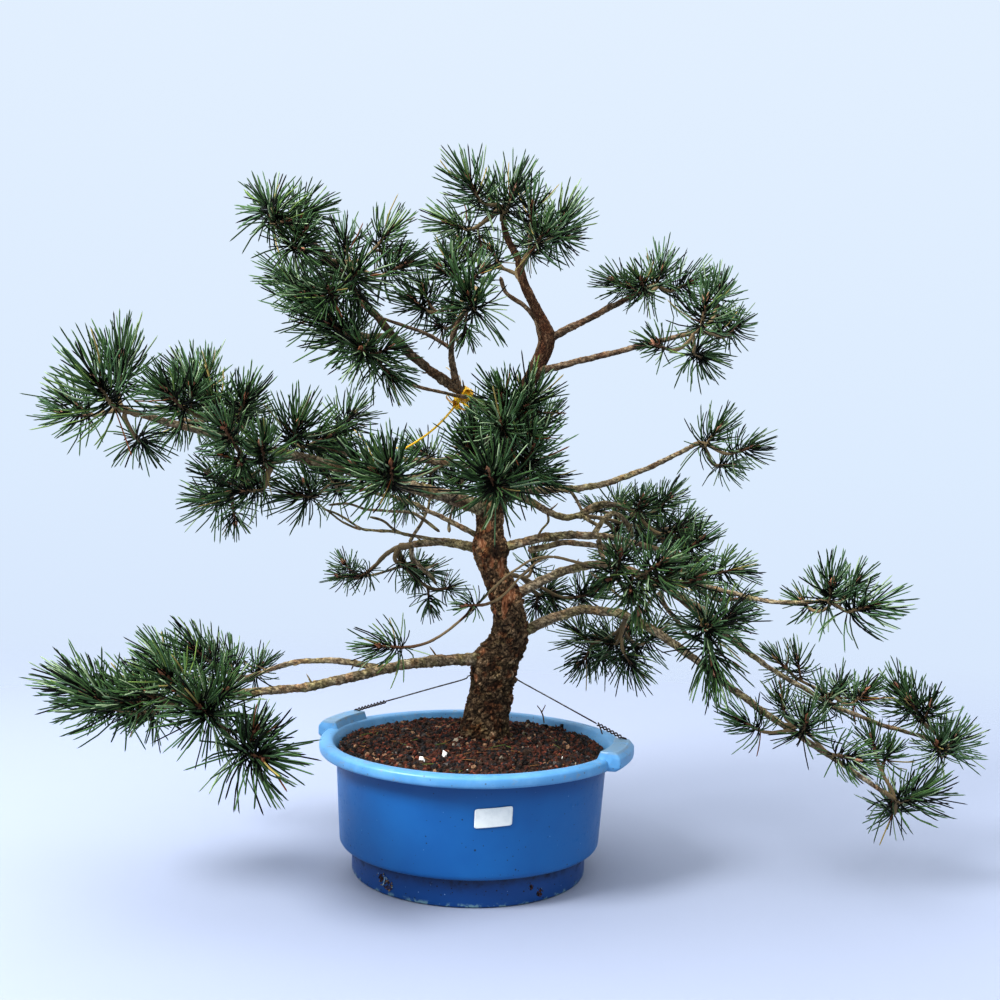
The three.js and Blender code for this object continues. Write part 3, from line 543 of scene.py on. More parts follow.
# Bark
bark = {
    "plateLow": (8.0, 8.0, 7.0), "plateHigh": (3.4, 3.4, 6.0), "changeFrom": 300, "changeTo": 430,
    "depthLow": 3.4, "depthHigh": 1.6, "bias": 0.85, "crack": 0.2,
    "scale": (3.0, 3.0, 2.6), "scaleDepth": 0.7,
    "bends": ((3.2, 13, 40), (1.4, 4, 50)),  # how far plates are bent, over what width, seed
    "grain": (0.4, 1.7), "lump": (0.9, 22),  # depth, width
    "collarReach": 1.7, "collarRise": 0.45,
    # hollows and knobs on the trunk: place, reach, depth outward
    "dents": [
        ((-16, 12, 214), 15, -6.0), ((-20, 20, 158), 12, -6.0), ((50, 10, 236), 13, -3.0),
        ((-4, 14, 262), 12, 3.0), ((46, 6, 205), 14, -3.5), ((-2, 6, 388), 11, 3.5), ((30, 2, 384), 12, 4.5),
        ((8, -6, 372), 9, 3.0), ((24, 0, 180), 18, 2.5), ((38, 8, 290), 10, 2.5), ((20, -2, 330), 11, -2.0),
        ((26, 2, 355), 9, 2.0), ((-14, 14, 166), 8, 3.5),
    ],
    # where the outer bark has peeled off: place, reach across, reach up
    "peels": [
        ((29, 1, 358), 4.5, 13), ((17, -2, 366), 3.5, 9), ((41, -1, 327), 7.5, 9), ((34, -2, 314), 4, 18),
        ((5, -2, 388), 5, 6), ((47, -3, 388), 6, 4), ((21, 0, 304), 3, 9), ((6, -2, 257), 9, 4),
        ((0, 2, 222), 3.5, 8), ((12, -4, 408), 4, 8),
    ],
    "peelDepth": 14, "peelFrom": (280, 310), "peelTo": (430, 470), "peelPatch": (9.0, 9.0, 22.0),
    # painted shade: places under overhangs and at the foot whose bark is darkened as if shaded: place, reach
    "paintedShades": [
        ((-14, 8, 168), 8), ((-10, 12, 220), 10), ((50, 10, 218), 9), ((46, 8, 190), 8), ((20, -6, 378), 8),
    ],
}


def bell(points, place, reach):  # 1 at the place, falling smoothly to nothing past its reach
    return np.exp(-(np.linalg.norm(points - np.array(place), axis=-1) / reach) ** 2)


def trunkRelief(points, heights):
    # Layers of ragged bark plates, each lifted by its own value and tilted, with sharp edges
    # where the nearest cell point is little nearer than the second; small scales and grain on
    # them, lumps, collars where boughs leave, and the listed hollows and knobs
    high = ease(bark["changeFrom"], bark["changeTo"], heights)
    bent = points
    for amount, width, seed in bark["bends"]:
        bent = bent + amount * drift(points, width, seed)
    small, mark, _ = plates(bent, np.array(bark["scale"]), 61)
    scales = ease(0.02, 0.15, small)
    lift = bark["scaleDepth"] * (1 - 0.5 * high) * scales * (mark - 0.3)
    tone = 0.4 * mark
    crack = 0.3 * scales
    low = (1 - high, bark["plateLow"], bark["depthLow"], 11)
    for share, size, depth, seed in (low, (high, bark["plateHigh"], bark["depthHigh"], 23)):
        gap, value, way = plates(bent, np.array(size), seed)
        step = ease(0.02, bark["crack"], gap)
        tilt = (value - 0.4) * way[..., 2] + 0.6 * way[..., 0] * (value - 0.5)
        lift += share * depth * (step * (0.25 + 0.95 * value + 1.0 * tilt) - bark["bias"])
        tone += 0.6 * share * value
        crack += 0.7 * share * ease(0, 0.4, gap)
    (grainDepth, grainWidth), (lumpDepth, lumpWidth) = bark["grain"], bark["lump"]
    lift += grainDepth * swell(points, grainWidth, 5) + lumpDepth * (1 - high) * swell(points, lumpWidth, 6)
    for name, parent, *_, (thick, _) in boughs:
        if parent != "trunk":
            continue
        start = limbs[name].point(0)
        way = unit(limbs[name].point(0.06) - start)
        offset = points - start
        reach = offset @ way
        square = np.linalg.norm(offset - reach[..., None] * way, axis=-1)
        collar = np.exp(-(square / (bark["collarReach"] * thick)) ** 2)
        lift += ease(0, 8, reach) * bark["collarRise"] * thick * collar
    for place, reach, depth in bark["dents"]:
        lift += depth * bell(points, place, reach)
    # painted shade: near each listed place the crack mark drops, so the paint darkens the bark there
    for place, reach in bark["paintedShades"]:
        crack *= 1 - 0.85 * bell(points, place, reach)
    # the peeled places: patches on the side away from the viewer, and the listed ones
    peel = 0.8 * ease(0.2, 0.7, swell(points, np.array(bark["peelPatch"]), 70))
    peel = peel * ease(*bark["peelFrom"], heights)
    peel = peel * (1 - ease(*bark["peelTo"], heights)) * ease(10, 25, points[..., 1])
    for place, wide, tall in bark["peels"]:
        offset = (points - np.array(place)) / np.array((wide, bark["peelDepth"], tall))
        peel = np.maximum(peel, np.exp(-np.sum(offset**2, axis=-1)))
    peel = ease(0.3, 0.5, peel + 0.24 * swell(points, 3.6, 71))
    lift -= peel * (0.7 * lift + 0.9)
    return lift, tone, crack, peel


def growTrunk(heap):
    # A tube on the plan's line: at each angle its radius is the plan's times a lobed wave that
    # fades out above the foot, plus a flare there, plus the relief, less of both higher up
    rings, sides = trunk["rings"], trunk["sides"]
    limb = limbs["trunk"]
    line = evenly(limb.line, rings)
    line[:, 2] = np.where(line[:, 2] < trunk["cutTop"], line[:, 2] - trunk["sunk"], line[:, 2])
    track = evenly(np.column_stack([limb.line[:, :2], limb.keys]), 200)
    keys = np.interp(np.linspace(0, 1, rings), np.linspace(0, 1, 200), track[:, 2])
    radii = np.interp(keys, limb.keys, limb.radii)
    eastward = np.array([[1.0, 0.0, 0.0]])
    turn = circle(sides)
    fade = np.maximum(0, 1 - (keys - keys[0]) / trunk["flareHeight"])[:, None]
    plain = radii[:, None] * (1 + trunk["lobeDepth"] * fade * np.cos(trunk["lobes"] * turn))
    flare = 0.5 + 0.5 * np.cos(trunk["lobes"] * turn + 0.4 * np.sin(3 * turn))
    plain += trunk["flareDepth"] * fade**2 * flare
    upper = ease(trunk["smoothFrom"], trunk["smoothTo"], keys)[:, None]
    plain = plain * (1 - trunk["slimmer"] * upper)
    points = line[:, None] + plain[..., None] * outward(line[None], sides, 0.0, eastward)[0]
    lift, tone, crack, peel = trunkRelief(points, points[..., 2])
    lift = lift * (1 - trunk["smoother"] * upper)
    full = (plain + lift * ease(0, 5, plain))[None]
    solid, faces = tubes(line[None], full, sides, 0.0, eastward)
    heap.add(solid, faces, 0, **ringMarks(tone=tone, crack=crack, peel=peel))


limbBark = {
    # depth or share of each, and its width
    "stray": ((1.0, 26), (0.5, 11)), "bend": (1.1, 5), "lump": (0.11, 6.5), "swelling": (0.09, 9),
    "plate": 4.2, "knotWidth": 8.5, "knotFrom": 0.52, "knotHeight": 2.6, "foot": 0.26, "footLength": 2.2,
    "roughness": 1.25, "thinnest": 0.4, "ringStep": 2.3,
}


def growBough(heap, line, radii, sides, seed, rough, wobble=1.2, base=0.0):
    # A tube along the line, which strays a little between its ends. Its radius is the plan's,
    # widened at the foot and swelling by noise, plus plates that flatten as it thins, plus knots
    b = limbBark
    count = len(line)
    share = np.linspace(0, 1, count)
    hold = np.minimum(1, 5 * np.minimum(share, 1 - share))[:, None]
    (more, wide), (less, narrow) = b["stray"]
    stray = more * drift(line, wide, seed) + less * drift(line, narrow, seed + 7)
    line = line + wobble * hold * stray
    plain = radii * (1 + base * np.exp(-travelled(line) / (b["footLength"] * radii[0])))
    plain = plain * (1 + b["swelling"][0] * swell(line, b["swelling"][1], seed + 3))
    points = line[:, None] + plain[:, None, None] * outward(line[None], sides)[0]
    bent = points + b["bend"][0] * drift(points, b["bend"][1], seed + 20)
    gap, tone, _ = plates(bent, np.full(3, b["plate"]), seed + 30)
    crack = ease(0.03, 0.4, gap)
    lift = rough * np.clip(plain / 9, 0.18, 1.2)[:, None] * (crack * (0.5 + 0.8 * tone) - 1.1)
    lift = lift + b["lump"][0] * plain[:, None] * swell(points, b["lump"][1], seed + 41)
    knots = np.maximum(0, swell(points, b["knotWidth"], seed + 50) - b["knotFrom"]) * b["knotHeight"]
    knots = knots * np.clip(plain / 6, 0.4, 1)[:, None]
    full = np.maximum(plain[:, None] + lift + knots, b["thinnest"])
    ends = np.clip(np.minimum(share, 1 - share) * count / 2.0, 0, 1)[:, None]
    full = full * np.sqrt(np.maximum(1 - (1 - ends) ** 2, 0.0) + 0.02)
    solid, faces = tubes(line[None], full[None], sides)
    heap.add(solid, faces, 0, **ringMarks(tone=tone, crack=crack))


def growBoughs(heap):
    for order, (name, *_, (thick, _)) in enumerate(boughs):
        limb = limbs[name]
        count = max(24, round(limb.length / limbBark["ringStep"]))
        line = evenly(limb.line, count)
        radii = np.interp(np.linspace(0, 1, count), limb.keys, limb.radii)
        sides = 30 if thick > 9 else 24 if thick > 6 else 18
        growBough(heap, line, radii, sides, 100 + 60 * order, limbBark["roughness"], base=limbBark["foot"])


# Bare limbs and twigs between the boughs: route, radii at the start and the end
bareTwigs = [
    ([(-32, 35, 388), (-66, 31, 391), (-84, 28, 393), (-105, 24, 397), (-122, 21, 398), (-142, 17, 400),
      (-156, 14, 408), (-171, 10, 417), (-190, 4, 424)], (2.4, 1.3)),
    ([(-142, 18, 399), (-154, 17, 402), (-169, 13, 410), (-184, 10, 421), (-196, 6, 430)], (1.5, 1.0)),
    ([(-79, 30, 393), (-94, 29, 396), (-106, 28, 402), (-116, 26, 410), (-135, 25, 415)], (2.0, 1.5)),
    ([(-87, 62, 383), (-78, 56, 397), (-70, 51, 414), (-64, 46, 428), (-61, 40, 443)], (2.6, 1.4)),
    ([(-85, 74, 380), (-83, 79, 364), (-70, 86, 349), (-58, 93, 338), (-52, 100, 328)], (3.4, 2.2)),
    ([(-68, 86, 349), (-58, 82, 353), (-49, 80, 358)], (1.8, 1.3)),
    ([(-78, 83, 357), (-100, 97, 350), (-127, 118, 340), (-156, 140, 332)], (2.0, 1.6)),
    ([(-36, 30, 398), (-35, 23, 414), (-32, 17, 427), (-28, 12, 437)], (2.0, 1.3)),
    ([(109, 28, 458), (117, 29, 447), (123, 30, 437), (128, 30, 428)], (1.9, 2.2)),
    ([(124, 30, 426), (137, 32, 435), (152, 35, 441), (167, 38, 440), (183, 42, 435)], (3.2, 2.4)),
    ([(127, 30, 425), (136, 20, 419), (148, 8, 411)], (2.6, 2.2)),
    ([(138, -10, 401), (146, -3, 415), (154, 1, 425), (164, 6, 429), (175, 11, 423), (184, 15, 412),
      (189, 20, 399)], (3.7, 3.0)),
    ([(60, 4, 380), (81, 4, 385), (106, 9, 391), (136, 12, 389), (161, 16, 388), (186, 20, 388)], (4.2, 3.2)),
    ([(144, -8, 398), (146, -12, 387), (150, -22, 372)], (3.4, 3.2)),
    ([(161, -34, 362), (169, -37, 347), (177, -39, 337), (186, -42, 322)], (3.4, 2.6)),
    ([(133, -30, 359), (147, -35, 348), (161, -40, 337), (177, -45, 324)], (1.7, 1.3)),
    ([(69, 2, 390), (76, 3, 405), (84, 2, 416), (82, 0, 428)], (1.8, 1.1)),
    ([(211, -62, 340), (217, -60, 325), (231, -60, 308), (248, -62, 286)], (3.0, 2.4)),
    ([(217, -50, 341), (204, -48, 332), (198, -47, 321), (195, -46, 311)], (1.9, 1.4)),
    ([(-39, -40, 616), (-69, -45, 631), (-98, -55, 639), (-118, -60, 645)], (2.6, 1.9)),
    ([(-17, -20, 561), (-50, -45, 564), (-78, -60, 569), (-99, -70, 576)], (2.4, 1.8)),
    ([(-182, 0, 428), (-158, 4, 430), (-137, 8, 424), (-109, 12, 423), (-81, 16, 421), (-64, 20, 411),
      (-47, 22, 399)], (1.4, 2.4)),
    ([(58, 28, 605), (63, 30, 617), (69, 30, 637), (66, 32, 654), (58, 34, 672), (45, 36, 684),
      (25, 36, 698), (17, 34, 717)], (3.6, 2.6)),
]


def growBareTwigs(heap):
    for order, (route, (thick, thin)) in enumerate(bareTwigs):
        line = throughPoints(route, 12)
        line = evenly(line, max(8, round(lineLength(line) / 2.4)))
        radii = np.linspace(thick, thin, len(line))
        growBough(heap, line, radii, 12, 2000 + 60 * order, 0.9, wobble=0.8, base=0.15)


# Dead stubs along the boughs
stubs = {"count": 64, "where": (0.18, 0.95), "lengths": (4, 17), "radii": (1.5, 0.7), "seed": 77}


def growStubs(heap):
    # Each stub leaves a limb at random, leaning ahead and up: start + share way + share squared
    # times a random bend
    rng = np.random.default_rng(stubs["seed"])
    names = [row[0] for row in boughs]
    reach = np.array([limbs[name].length for name in names])
    for order in range(stubs["count"]):
        limb = limbs[rng.choice(names, p=reach / reach.sum())]
        key = rng.uniform(*stubs["where"])
        along = limb.tangent(key)
        way = unit(unit(np.cross(along, rng.normal(size=3))) + 0.7 * along + 0.25 * up)
        length = limb.radius(key) + rng.uniform(*stubs["lengths"]) * rng.uniform(0.4, 1)
        start = limb.point(key)
        share = np.linspace(0, 1, 7)[:, None]
        line = start + share * length * way + share**2 * rng.normal(size=3) * 2
        growBough(heap, line, np.linspace(*stubs["radii"], 7), 8, 5000 + 60 * order, 0.8, wobble=0.2)


barkHeap, limbHeap = Heap(), Heap()
growTrunk(barkHeap)
growBoughs(limbHeap)
growBareTwigs(limbHeap)
growStubs(limbHeap)
print("bark grown")


# Foliage: stems and leading shoots by the solids' rule, then side twigs, needles and buds
def planDraws(seed):
    # The plan's own random numbers: each state is 16807 times the last, modulo 2147483647
    state = seed * 7919 + 17
    while True:
        state = state * 16807 % 2147483647
        yield state / 2147483647


def cubic(a, b, c, d, count):  # from a towards b, and from the side of c to d
    t = np.linspace(0, 1, count)[:, None]
    return (1 - t) ** 3 * a + 3 * (1 - t) ** 2 * t * b + 3 * (1 - t) * t**2 * c + t**3 * d


def planMass(order, name, on, at, tips):
    # A stem leaves its limb towards the middle of the tips and forks there. Each leading shoot
    # runs on a cubic from the fork to its tip, which it reaches a little uphill.
    draws = planDraws(order + 1)
    limb = limbs[on]
    tips = np.array(tips, float)[:, :3]
    middle = tips.mean(axis=0)
    root = limb.point(at)
    fromEnd = at == limb.end
    heading = unit(unit(middle - root) + up * stem["rise"].get(name, 0))
    if fromEnd:
        heading = up if on == "trunk" else limb.tangent(at)
    stemLength = np.clip(np.linalg.norm(root - middle) * stem["share"], stem["shortest"], stem["longest"])
    stemLength += 0 if fromEnd else limb.radius(at)
    fork = root + heading * stemLength
    sideRadius = stem["slim"].get(name, 1) * min(stem["sideShare"] * limb.radius(at), stem["sideRadius"])
    stemRadius = limb.radius(at) if fromEnd else sideRadius
    shoots = []
    for i, tip in enumerate(tips):
        jitter = np.array([next(draws) - 0.5 for _ in range(3)]) * twig["jitter"]
        axis = unit(unit(tip - fork) + up * twig["uplift"] + jitter)
        coreStart = tip - twig["tipShare"] * twig["coreLength"] * axis
        length = np.linalg.norm(coreStart - fork)
        inside = fork - heading * twig["sunk"] * (1 + twig["sunkMore"] * i)
        leave = fork + heading * twig["leave"] * length
        arrive = coreStart - axis * twig["arrive"] * length
        shoots.append((axis, coreStart, tip, cubic(inside, leave, arrive, coreStart, 19)))
    return root, fork, stemRadius, shoots


spray = {
    "pairs": 56, "pairsRange": (0.88, 1.12), "pairsPower": 1.3, "zone": 41, "turnJitter": 0.25,
    "leanBack": 118, "leanFront": 20, "leanPower": 0.9, "leanJitter": 11, "splay": 0.14, "wayJitter": 0.03,
    "length": 50, "lengthPower": 0.9, "lengthRange": (0.84, 1.1),
    "curl": 26.0, "curlRange": (0.3, 1.2), "curlAcross": 0.85, "loose": 5.0,
    "droop": 2.5, "droopRange": (0.2, 1.6),
    "radius": 0.96, "radiusRange": (0.85, 1.12), "stations": (0.0, 0.06, 0.32, 0.64, 0.94, 1.0),
    "thickness": (0.0, 0.85, 1.0, 1.0, 0.85, 0.0), "clear": 0.6, "limbsWithin": 130,
    "stemRadius": 2.1, "slim": {"crossing": 0.8},
    # share of the needles, on shoots without side twigs
    "fill": {
        ("crossing", 0): 0.85, ("crossing", 1): 1.0, ("apex", 0): 1.0, ("apex", 1): 1.0, ("apex", 3): 0.8,
        ("apex_back", 0): 0.9, ("apex_back", 1): 0.8, ("apex_right", 2): 0.9,
    },
}
sideTwig = {
    "each": (56, 92, 135), "last": 0.86, "apart": 0.24, "strewn": 0.1, "openAngle": (36, 62),
    "lengths": (22, 40), "uplift": 0.3, "radius": 1.5, "sizes": (0.46, 0.68), "clear": 9, "stations": 12,
}
# needle colours, the first of them nearly black as painted shade within the sprays and the fifth, pale
# grey-green, partly the needles' bloom and partly painted highlight; the darker one painted on the shaded
# foot of each as painted shade, partly its dark sheath; and the mixes that sprays are dealt: the share of
# sprays that gets a mix, then the share of each colour in it
needleTints = [
    tint(9, 14, 7), tint(43, 64, 37), tint(74, 102, 60), tint(82, 110, 78), tint(142, 160, 126),
    tint(110, 132, 70), tint(150, 134, 82), tint(108, 64, 38),
]
footShadeTints = np.array([0, 0, 0, 0, 1, 1, 7, 7])
mixes = [
    (0.30, [0.22, 0.38, 0.24, 0.08, 0.06, 0.01, 0.005, 0.003]),
    (0.34, [0.15, 0.28, 0.34, 0.12, 0.07, 0.03, 0.01, 0.005]),
    (0.26, [0.14, 0.22, 0.20, 0.30, 0.12, 0.01, 0.01, 0.005]),
    (0.10, [0.10, 0.20, 0.32, 0.14, 0.12, 0.11, 0.015, 0.005]),
]

limbPoints = np.concatenate([limb.line[::8] for limb in limbs.values()])
limbRadii = np.concatenate([limb.radii[::8] for limb in limbs.values()])


def needlePaths(line, size, rng, fill):
    # Pairs of needles wind up the last stretch of a shoot by the golden angle. The lowest
    # stand square to it or lean back and the last lean along it. Each needle is its root
    # plus way times length times s, plus a curl across it, towards the shoot's own way, times
    # s squared.
    p = spray
    pairs = round(fill * p["pairs"] * size ** p["pairsPower"] * rng.uniform(*p["pairsRange"]))
    rank = (np.arange(pairs) + 0.5) / pairs
    behind = p["zone"] * size * (1 - rank)
    back = line[::-1]
    far = travelled(back)
    along = -np.gradient(back, axis=0)
    root = np.stack([np.interp(behind, far, back[:, i]) for i in range(3)], axis=1)
    axis = unit(np.stack([np.interp(behind, far, along[:, i]) for i in range(3)], axis=1))
    first = unit(np.cross(axis, up + 0.3 * rng.normal(size=3)))
    second = np.cross(axis, first)
    turn = np.arange(pairs) * golden + rng.uniform(0, 6.3) + rng.normal(size=pairs) * p["turnJitter"]
    out = np.cos(turn)[:, None] * first + np.sin(turn)[:, None] * second
    lean = p["leanBack"] + (p["leanFront"] - p["leanBack"]) * rank ** p["leanPower"]
    lean = np.radians(lean + p["leanJitter"] * rng.normal(size=pairs))[:, None]
    way = np.cos(lean) * axis + np.sin(lean) * out
    square = unit(np.cross(way, rng.normal(size=(pairs, 3))))
    way = np.stack([way + p["splay"] * square, way - p["splay"] * square], axis=1)
    way = unit(way + p["wayJitter"] * rng.normal(size=way.shape)).reshape(-1, 3)
    root = np.repeat(root, 2, axis=0)
    each = (2 * pairs, 1)
    reach = p["length"] * size ** p["lengthPower"] * rng.uniform(*p["lengthRange"], size=each)
    ahead = np.repeat(axis, 2, axis=0)
    ahead = ahead - p["curlAcross"] * way * (ahead * way).sum(axis=1, keepdims=True)
    bend = p["curl"] * ahead * rng.uniform(*p["curlRange"], size=each)
    bend += p["loose"] * rng.normal(size=way.shape)
    bend -= up * p["droop"] * (1 - np.abs(way[:, 2:])) * rng.uniform(*p["droopRange"], size=each)
    s = np.array(p["stations"])[None, :, None]
    paths = root[:, None] + way[:, None] * (reach[:, None] * s) + size * bend[:, None] * s**2
    # a needle that would run into a limb is left out
    near = np.linalg.norm(limbPoints - line[-1], axis=1) < p["limbsWithin"]
    if near.any():
        gaps = np.linalg.norm(paths[:, 2:, None] - limbPoints[near], axis=-1) - limbRadii[near]
        paths = paths[gaps.min(axis=(1, 2)) > p["clear"]]
    return paths


def dressShoot(heap, line, size, rng, fill=1.0):
    # Three-sided tubes on the needles' paths, each one's colour dealt from the spray's mix
    paths = needlePaths(line, size, rng, fill)
    width = (0.55 + 0.45 * size) * rng.uniform(*spray["radiusRange"], size=(len(paths), 1))
    radii = spray["radius"] * np.array(spray["thickness"]) * width
    points, faces = tubes(paths, radii, 3, rng.uniform(0, 2, size=len(paths)))
    mix = mixes[rng.choice(len(mixes), p=[share for share, _ in mixes])][1]
    dealt = rng.choice(len(needleTints), size=len(paths), p=np.array(mix) / sum(mix))
    each = np.repeat(dealt[:, None], len(faces) // len(paths), axis=1)
    # a tube's faces run from its foot up, so the first nine make up the first third of a needle
    # painted shade: those faces take the darker foot colour, partly the dark sheath there
    each[:, :9] = footShadeTints[each[:, :9]]
    heap.add(points, faces, each.ravel())


buds = {
    "length": (13, 21), "radius": 2.9, "sides": 9, "more": (0, 3), "sunk": 1.5, "apart": 2.2,
    "slants": (0.4, 0.75), "smaller": (0.5, 0.75), "scales": 0.13,
    "profile": (0.0, 0.72, 0.96, 1.0, 0.88, 0.6, 0.28, 0.0),
}


def setBuds(heap, tip, axis, rng, size=1.0):
    # A stout pointed bud at the end of the shoot, and up to three smaller ones that lean out.
    # Each is a tube whose radius follows the profile, with scales as a ripple round it
    count = 1 + rng.integers(buds["more"][0], buds["more"][1] + 1)
    foremost = np.arange(count) == 0
    turn = rng.uniform(0, 6.3) + np.arange(count) * buds["apart"]
    first = unit(np.cross(axis, up + 0.3 * rng.normal(size=3)))
    out = np.cos(turn)[:, None] * first + np.sin(turn)[:, None] * np.cross(axis, first)
    slant = np.where(foremost, 0.05, rng.uniform(*buds["slants"], size=count))[:, None]
    ways = unit(axis + slant * out)
    grown = size * np.where(foremost, 1.0, rng.uniform(*buds["smaller"], size=count))
    lengths = grown * rng.uniform(*buds["length"], size=count)
    s = np.linspace(0, 1, len(buds["profile"]))
    paths = tip - axis * buds["sunk"] + ways[:, None] * (lengths[:, None] * s)[..., None]
    radii = (buds["radius"] * (0.5 + 0.5 * grown))[:, None] * np.array(buds["profile"])
    aroundIt, alongIt = np.arange(buds["sides"]) % 2, np.array([1, -1] * 4)
    scales = 1 + buds["scales"] * aroundIt[None, None] * alongIt[None, :, None]
    heap.add(*tubes(paths, radii[..., None] * scales, buds["sides"]), rng.integers(0, 3))


def twigTube(heap, line, radii, sides, seed, young):
    # A twig's tube with the raised bases of old needles on it, drawn as a fine ripple
    share = np.linspace(0, 1, len(line))
    hold = np.minimum(1, 4 * np.minimum(share, 1 - share))[:, None]
    line = line + hold * drift(line, 16, seed)
    paths = line[None]
    points = line[:, None] + radii[:, None, None] * outward(paths, sides)[0]
    ripple = 0.17 * swell(points, 2.6, seed + 5)
    rippled = radii[:, None] * (1 + ripple + 0.1 * swell(points, 6, seed + 6))
    ends = np.where((share == 0) | (share == 1), 0.0, 1.0)[:, None]
    tone = np.concatenate([young[:1], np.repeat(young[1:-1], sides), young[-1:]])
    heap.add(*tubes(paths, (rippled * ends)[None], sides), 0, young=tone)


def growSideTwigs(heaps, seed, line, radius, axis, size, rng):
    # Side twigs, more of them on a longer twig, wound round it, each with its own spray
    heap, twigHeap, budHeap = heaps
    p, stations = sideTwig, sideTwig["stations"]
    length = lineLength(line)
    for k in range(sum(length > step for step in p["each"])):
        index = int((p["last"] - p["apart"] * k - rng.uniform(0, p["strewn"])) * (len(line) - 1))
        along = unit(line[index] - line[index - 1])
        turn = k * golden + rng.uniform(0, 6.3)
        square = unit(np.cross(along, up + 0.2 * rng.normal(size=3)))
        out = np.cos(turn) * square + np.sin(turn) * np.cross(along, square)
        opened = math.radians(rng.uniform(*p["openAngle"]))
        way = unit(math.cos(opened) * along + math.sin(opened) * out + up * p["uplift"])
        reach = rng.uniform(*p["lengths"])
        end = line[index] + way * reach
        if (np.linalg.norm(limbPoints - end, axis=1) - limbRadii).min() < p["clear"]:
            continue
        sideAxis = unit(way + 0.4 * up + 0.2 * axis)
        leave = line[index] + along * 0.25 * reach + way * 0.1 * reach
        bent = cubic(line[index], leave, end - sideAxis * 0.35 * reach, end, stations)
        radii = np.linspace(min(p["radius"] * 1.25, radius), p["radius"] * 0.9, stations)
        twigTube(twigHeap, bent, radii, 7, seed + 8 * k, np.linspace(0.4, 1, stations))
        dressShoot(heap, bent, min(size, rng.uniform(*p["sizes"])), rng)
        setBuds(budHeap, end, unit(bent[-1] - bent[-3]), rng, 0.7)


def growFoliage():
    # For each mass its stem and its leading shoots, each drawn on past its core's start and
    # dressed with needles, buds and side twigs
    heaps = {region: Heap() for region in sorted({row[1] for row in masses})}
    twigHeap, budHeap = Heap(), Heap()
    for order, (name, region, on, at, tips) in enumerate(masses):
        rng = np.random.default_rng(1000 + order)
        root, fork, stemRadius, shoots = planMass(order, name, on, at, tips)
        back = unit(fork - root) * 2.0
        line = evenly(np.stack([root - back, fork + back]), 14)
        twigTube(twigHeap, line, np.full(14, stemRadius), 12, 7000 + 40 * order, np.full(14, 0.1))
        twigRadius = max(twig["tipRadius"], twig["baseShare"] * stemRadius)
        for i, (axis, coreStart, tip, line) in enumerate(shoots):
            size = tips[i][3]
            whole = np.concatenate([line, coreStart + axis * np.linspace(4, 27, 6)[:, None]])
            whole = evenly(whole, max(16, round(lineLength(whole) / 4)))
            share = np.linspace(0, 1, len(whole))
            radii = twigRadius + (spray["stemRadius"] - twigRadius) * np.minimum(1, share * 1.2)
            radii = radii * spray["slim"].get(name, 1.0)
            twigTube(twigHeap, whole, radii, 8, 9000 + 300 * order + 20 * i, ease(0.6, 0.95, share))
            dressShoot(heaps[region], whole, size, rng, spray["fill"].get((name, i), 1.0))
            setBuds(budHeap, tip + axis * 2, axis, rng, 0.4 + 0.6 * size)
            if (name, i) not in spray["fill"]:
                kinds, seed = (heaps[region], twigHeap, budHeap), 21000 + 300 * order + 40 * i
                growSideTwigs(kinds, seed, line, radii[0], axis, size, rng)
    print("foliage grown")
    return heaps, twigHeap, budHeap


needleHeaps, twigHeap, budHeap = growFoliage()

# Pot and its two lugs: radii and heights, and the lugs' directions in degrees
pot = {
    "footRadius": 139, "footHeight": 32, "bodyRadius": 154.3, "shoulderRadius": 161.5, "wall": 3,
    "lipRadius": 182, "lipInner": 162.7, "lipBottom": 139, "lipTop": 153.5, "around": 288,
    # how far from a true circle and a level rim it is: waves round it, where they start, how high
    "wobble": 0.5, "wobbleWaves": [(2, 0.7, 1), (3, 2.0, 0.5), (7, 0, 0.25)],
    "rimWaves": [(2, 1.9, 0.6), (5, 0, 0.3)],
}
lug = {
    "azimuths": (-19.5, 157.5), "halfAngle": 13.2, "endAngle": 0.7, "bevelAngle": 1.8,
    "reach": 194, "top": 162, "bottom": 140, "innerTop": 171, "round": 1.3,
}


def roundedLine(corners, steps=5):
    # Each corner (radius, height, rounding) becomes an arc-like quadratic curve between the
    # points that lie the rounding away from it on its two sides
    corners = np.array(corners, float)
    out = [corners[0, :2][None]]
    for before, here, after in zip(corners[:-2], corners[1:-1], corners[2:]):
        back, ahead = before[:2] - here[:2], after[:2] - here[:2]
        start = here[:2] + unit(back) * min(here[2], 0.48 * np.linalg.norm(back))
        end = here[:2] + unit(ahead) * min(here[2], 0.48 * np.linalg.norm(ahead))
        t = np.linspace(0, 1, steps)[:, None]
        out.append((1 - t) ** 2 * start + 2 * (1 - t) * t * here[:2] + t**2 * end)
    return np.concatenate(out + [corners[-1, :2][None]])


def subdivide(line, step):  # equal parts of each stretch, none longer than the step
    pieces = [line[:1]]
    for a, b in zip(line[:-1], line[1:]):
        count = max(1, math.ceil(np.linalg.norm(b - a) / step))
        pieces.append(a + (b - a) * (np.arange(1, count + 1) / count)[:, None])
    return np.concatenate(pieces)


def waves(turn, rows):
    return sum(height * np.sin(count * turn + start) for count, start, height in rows)


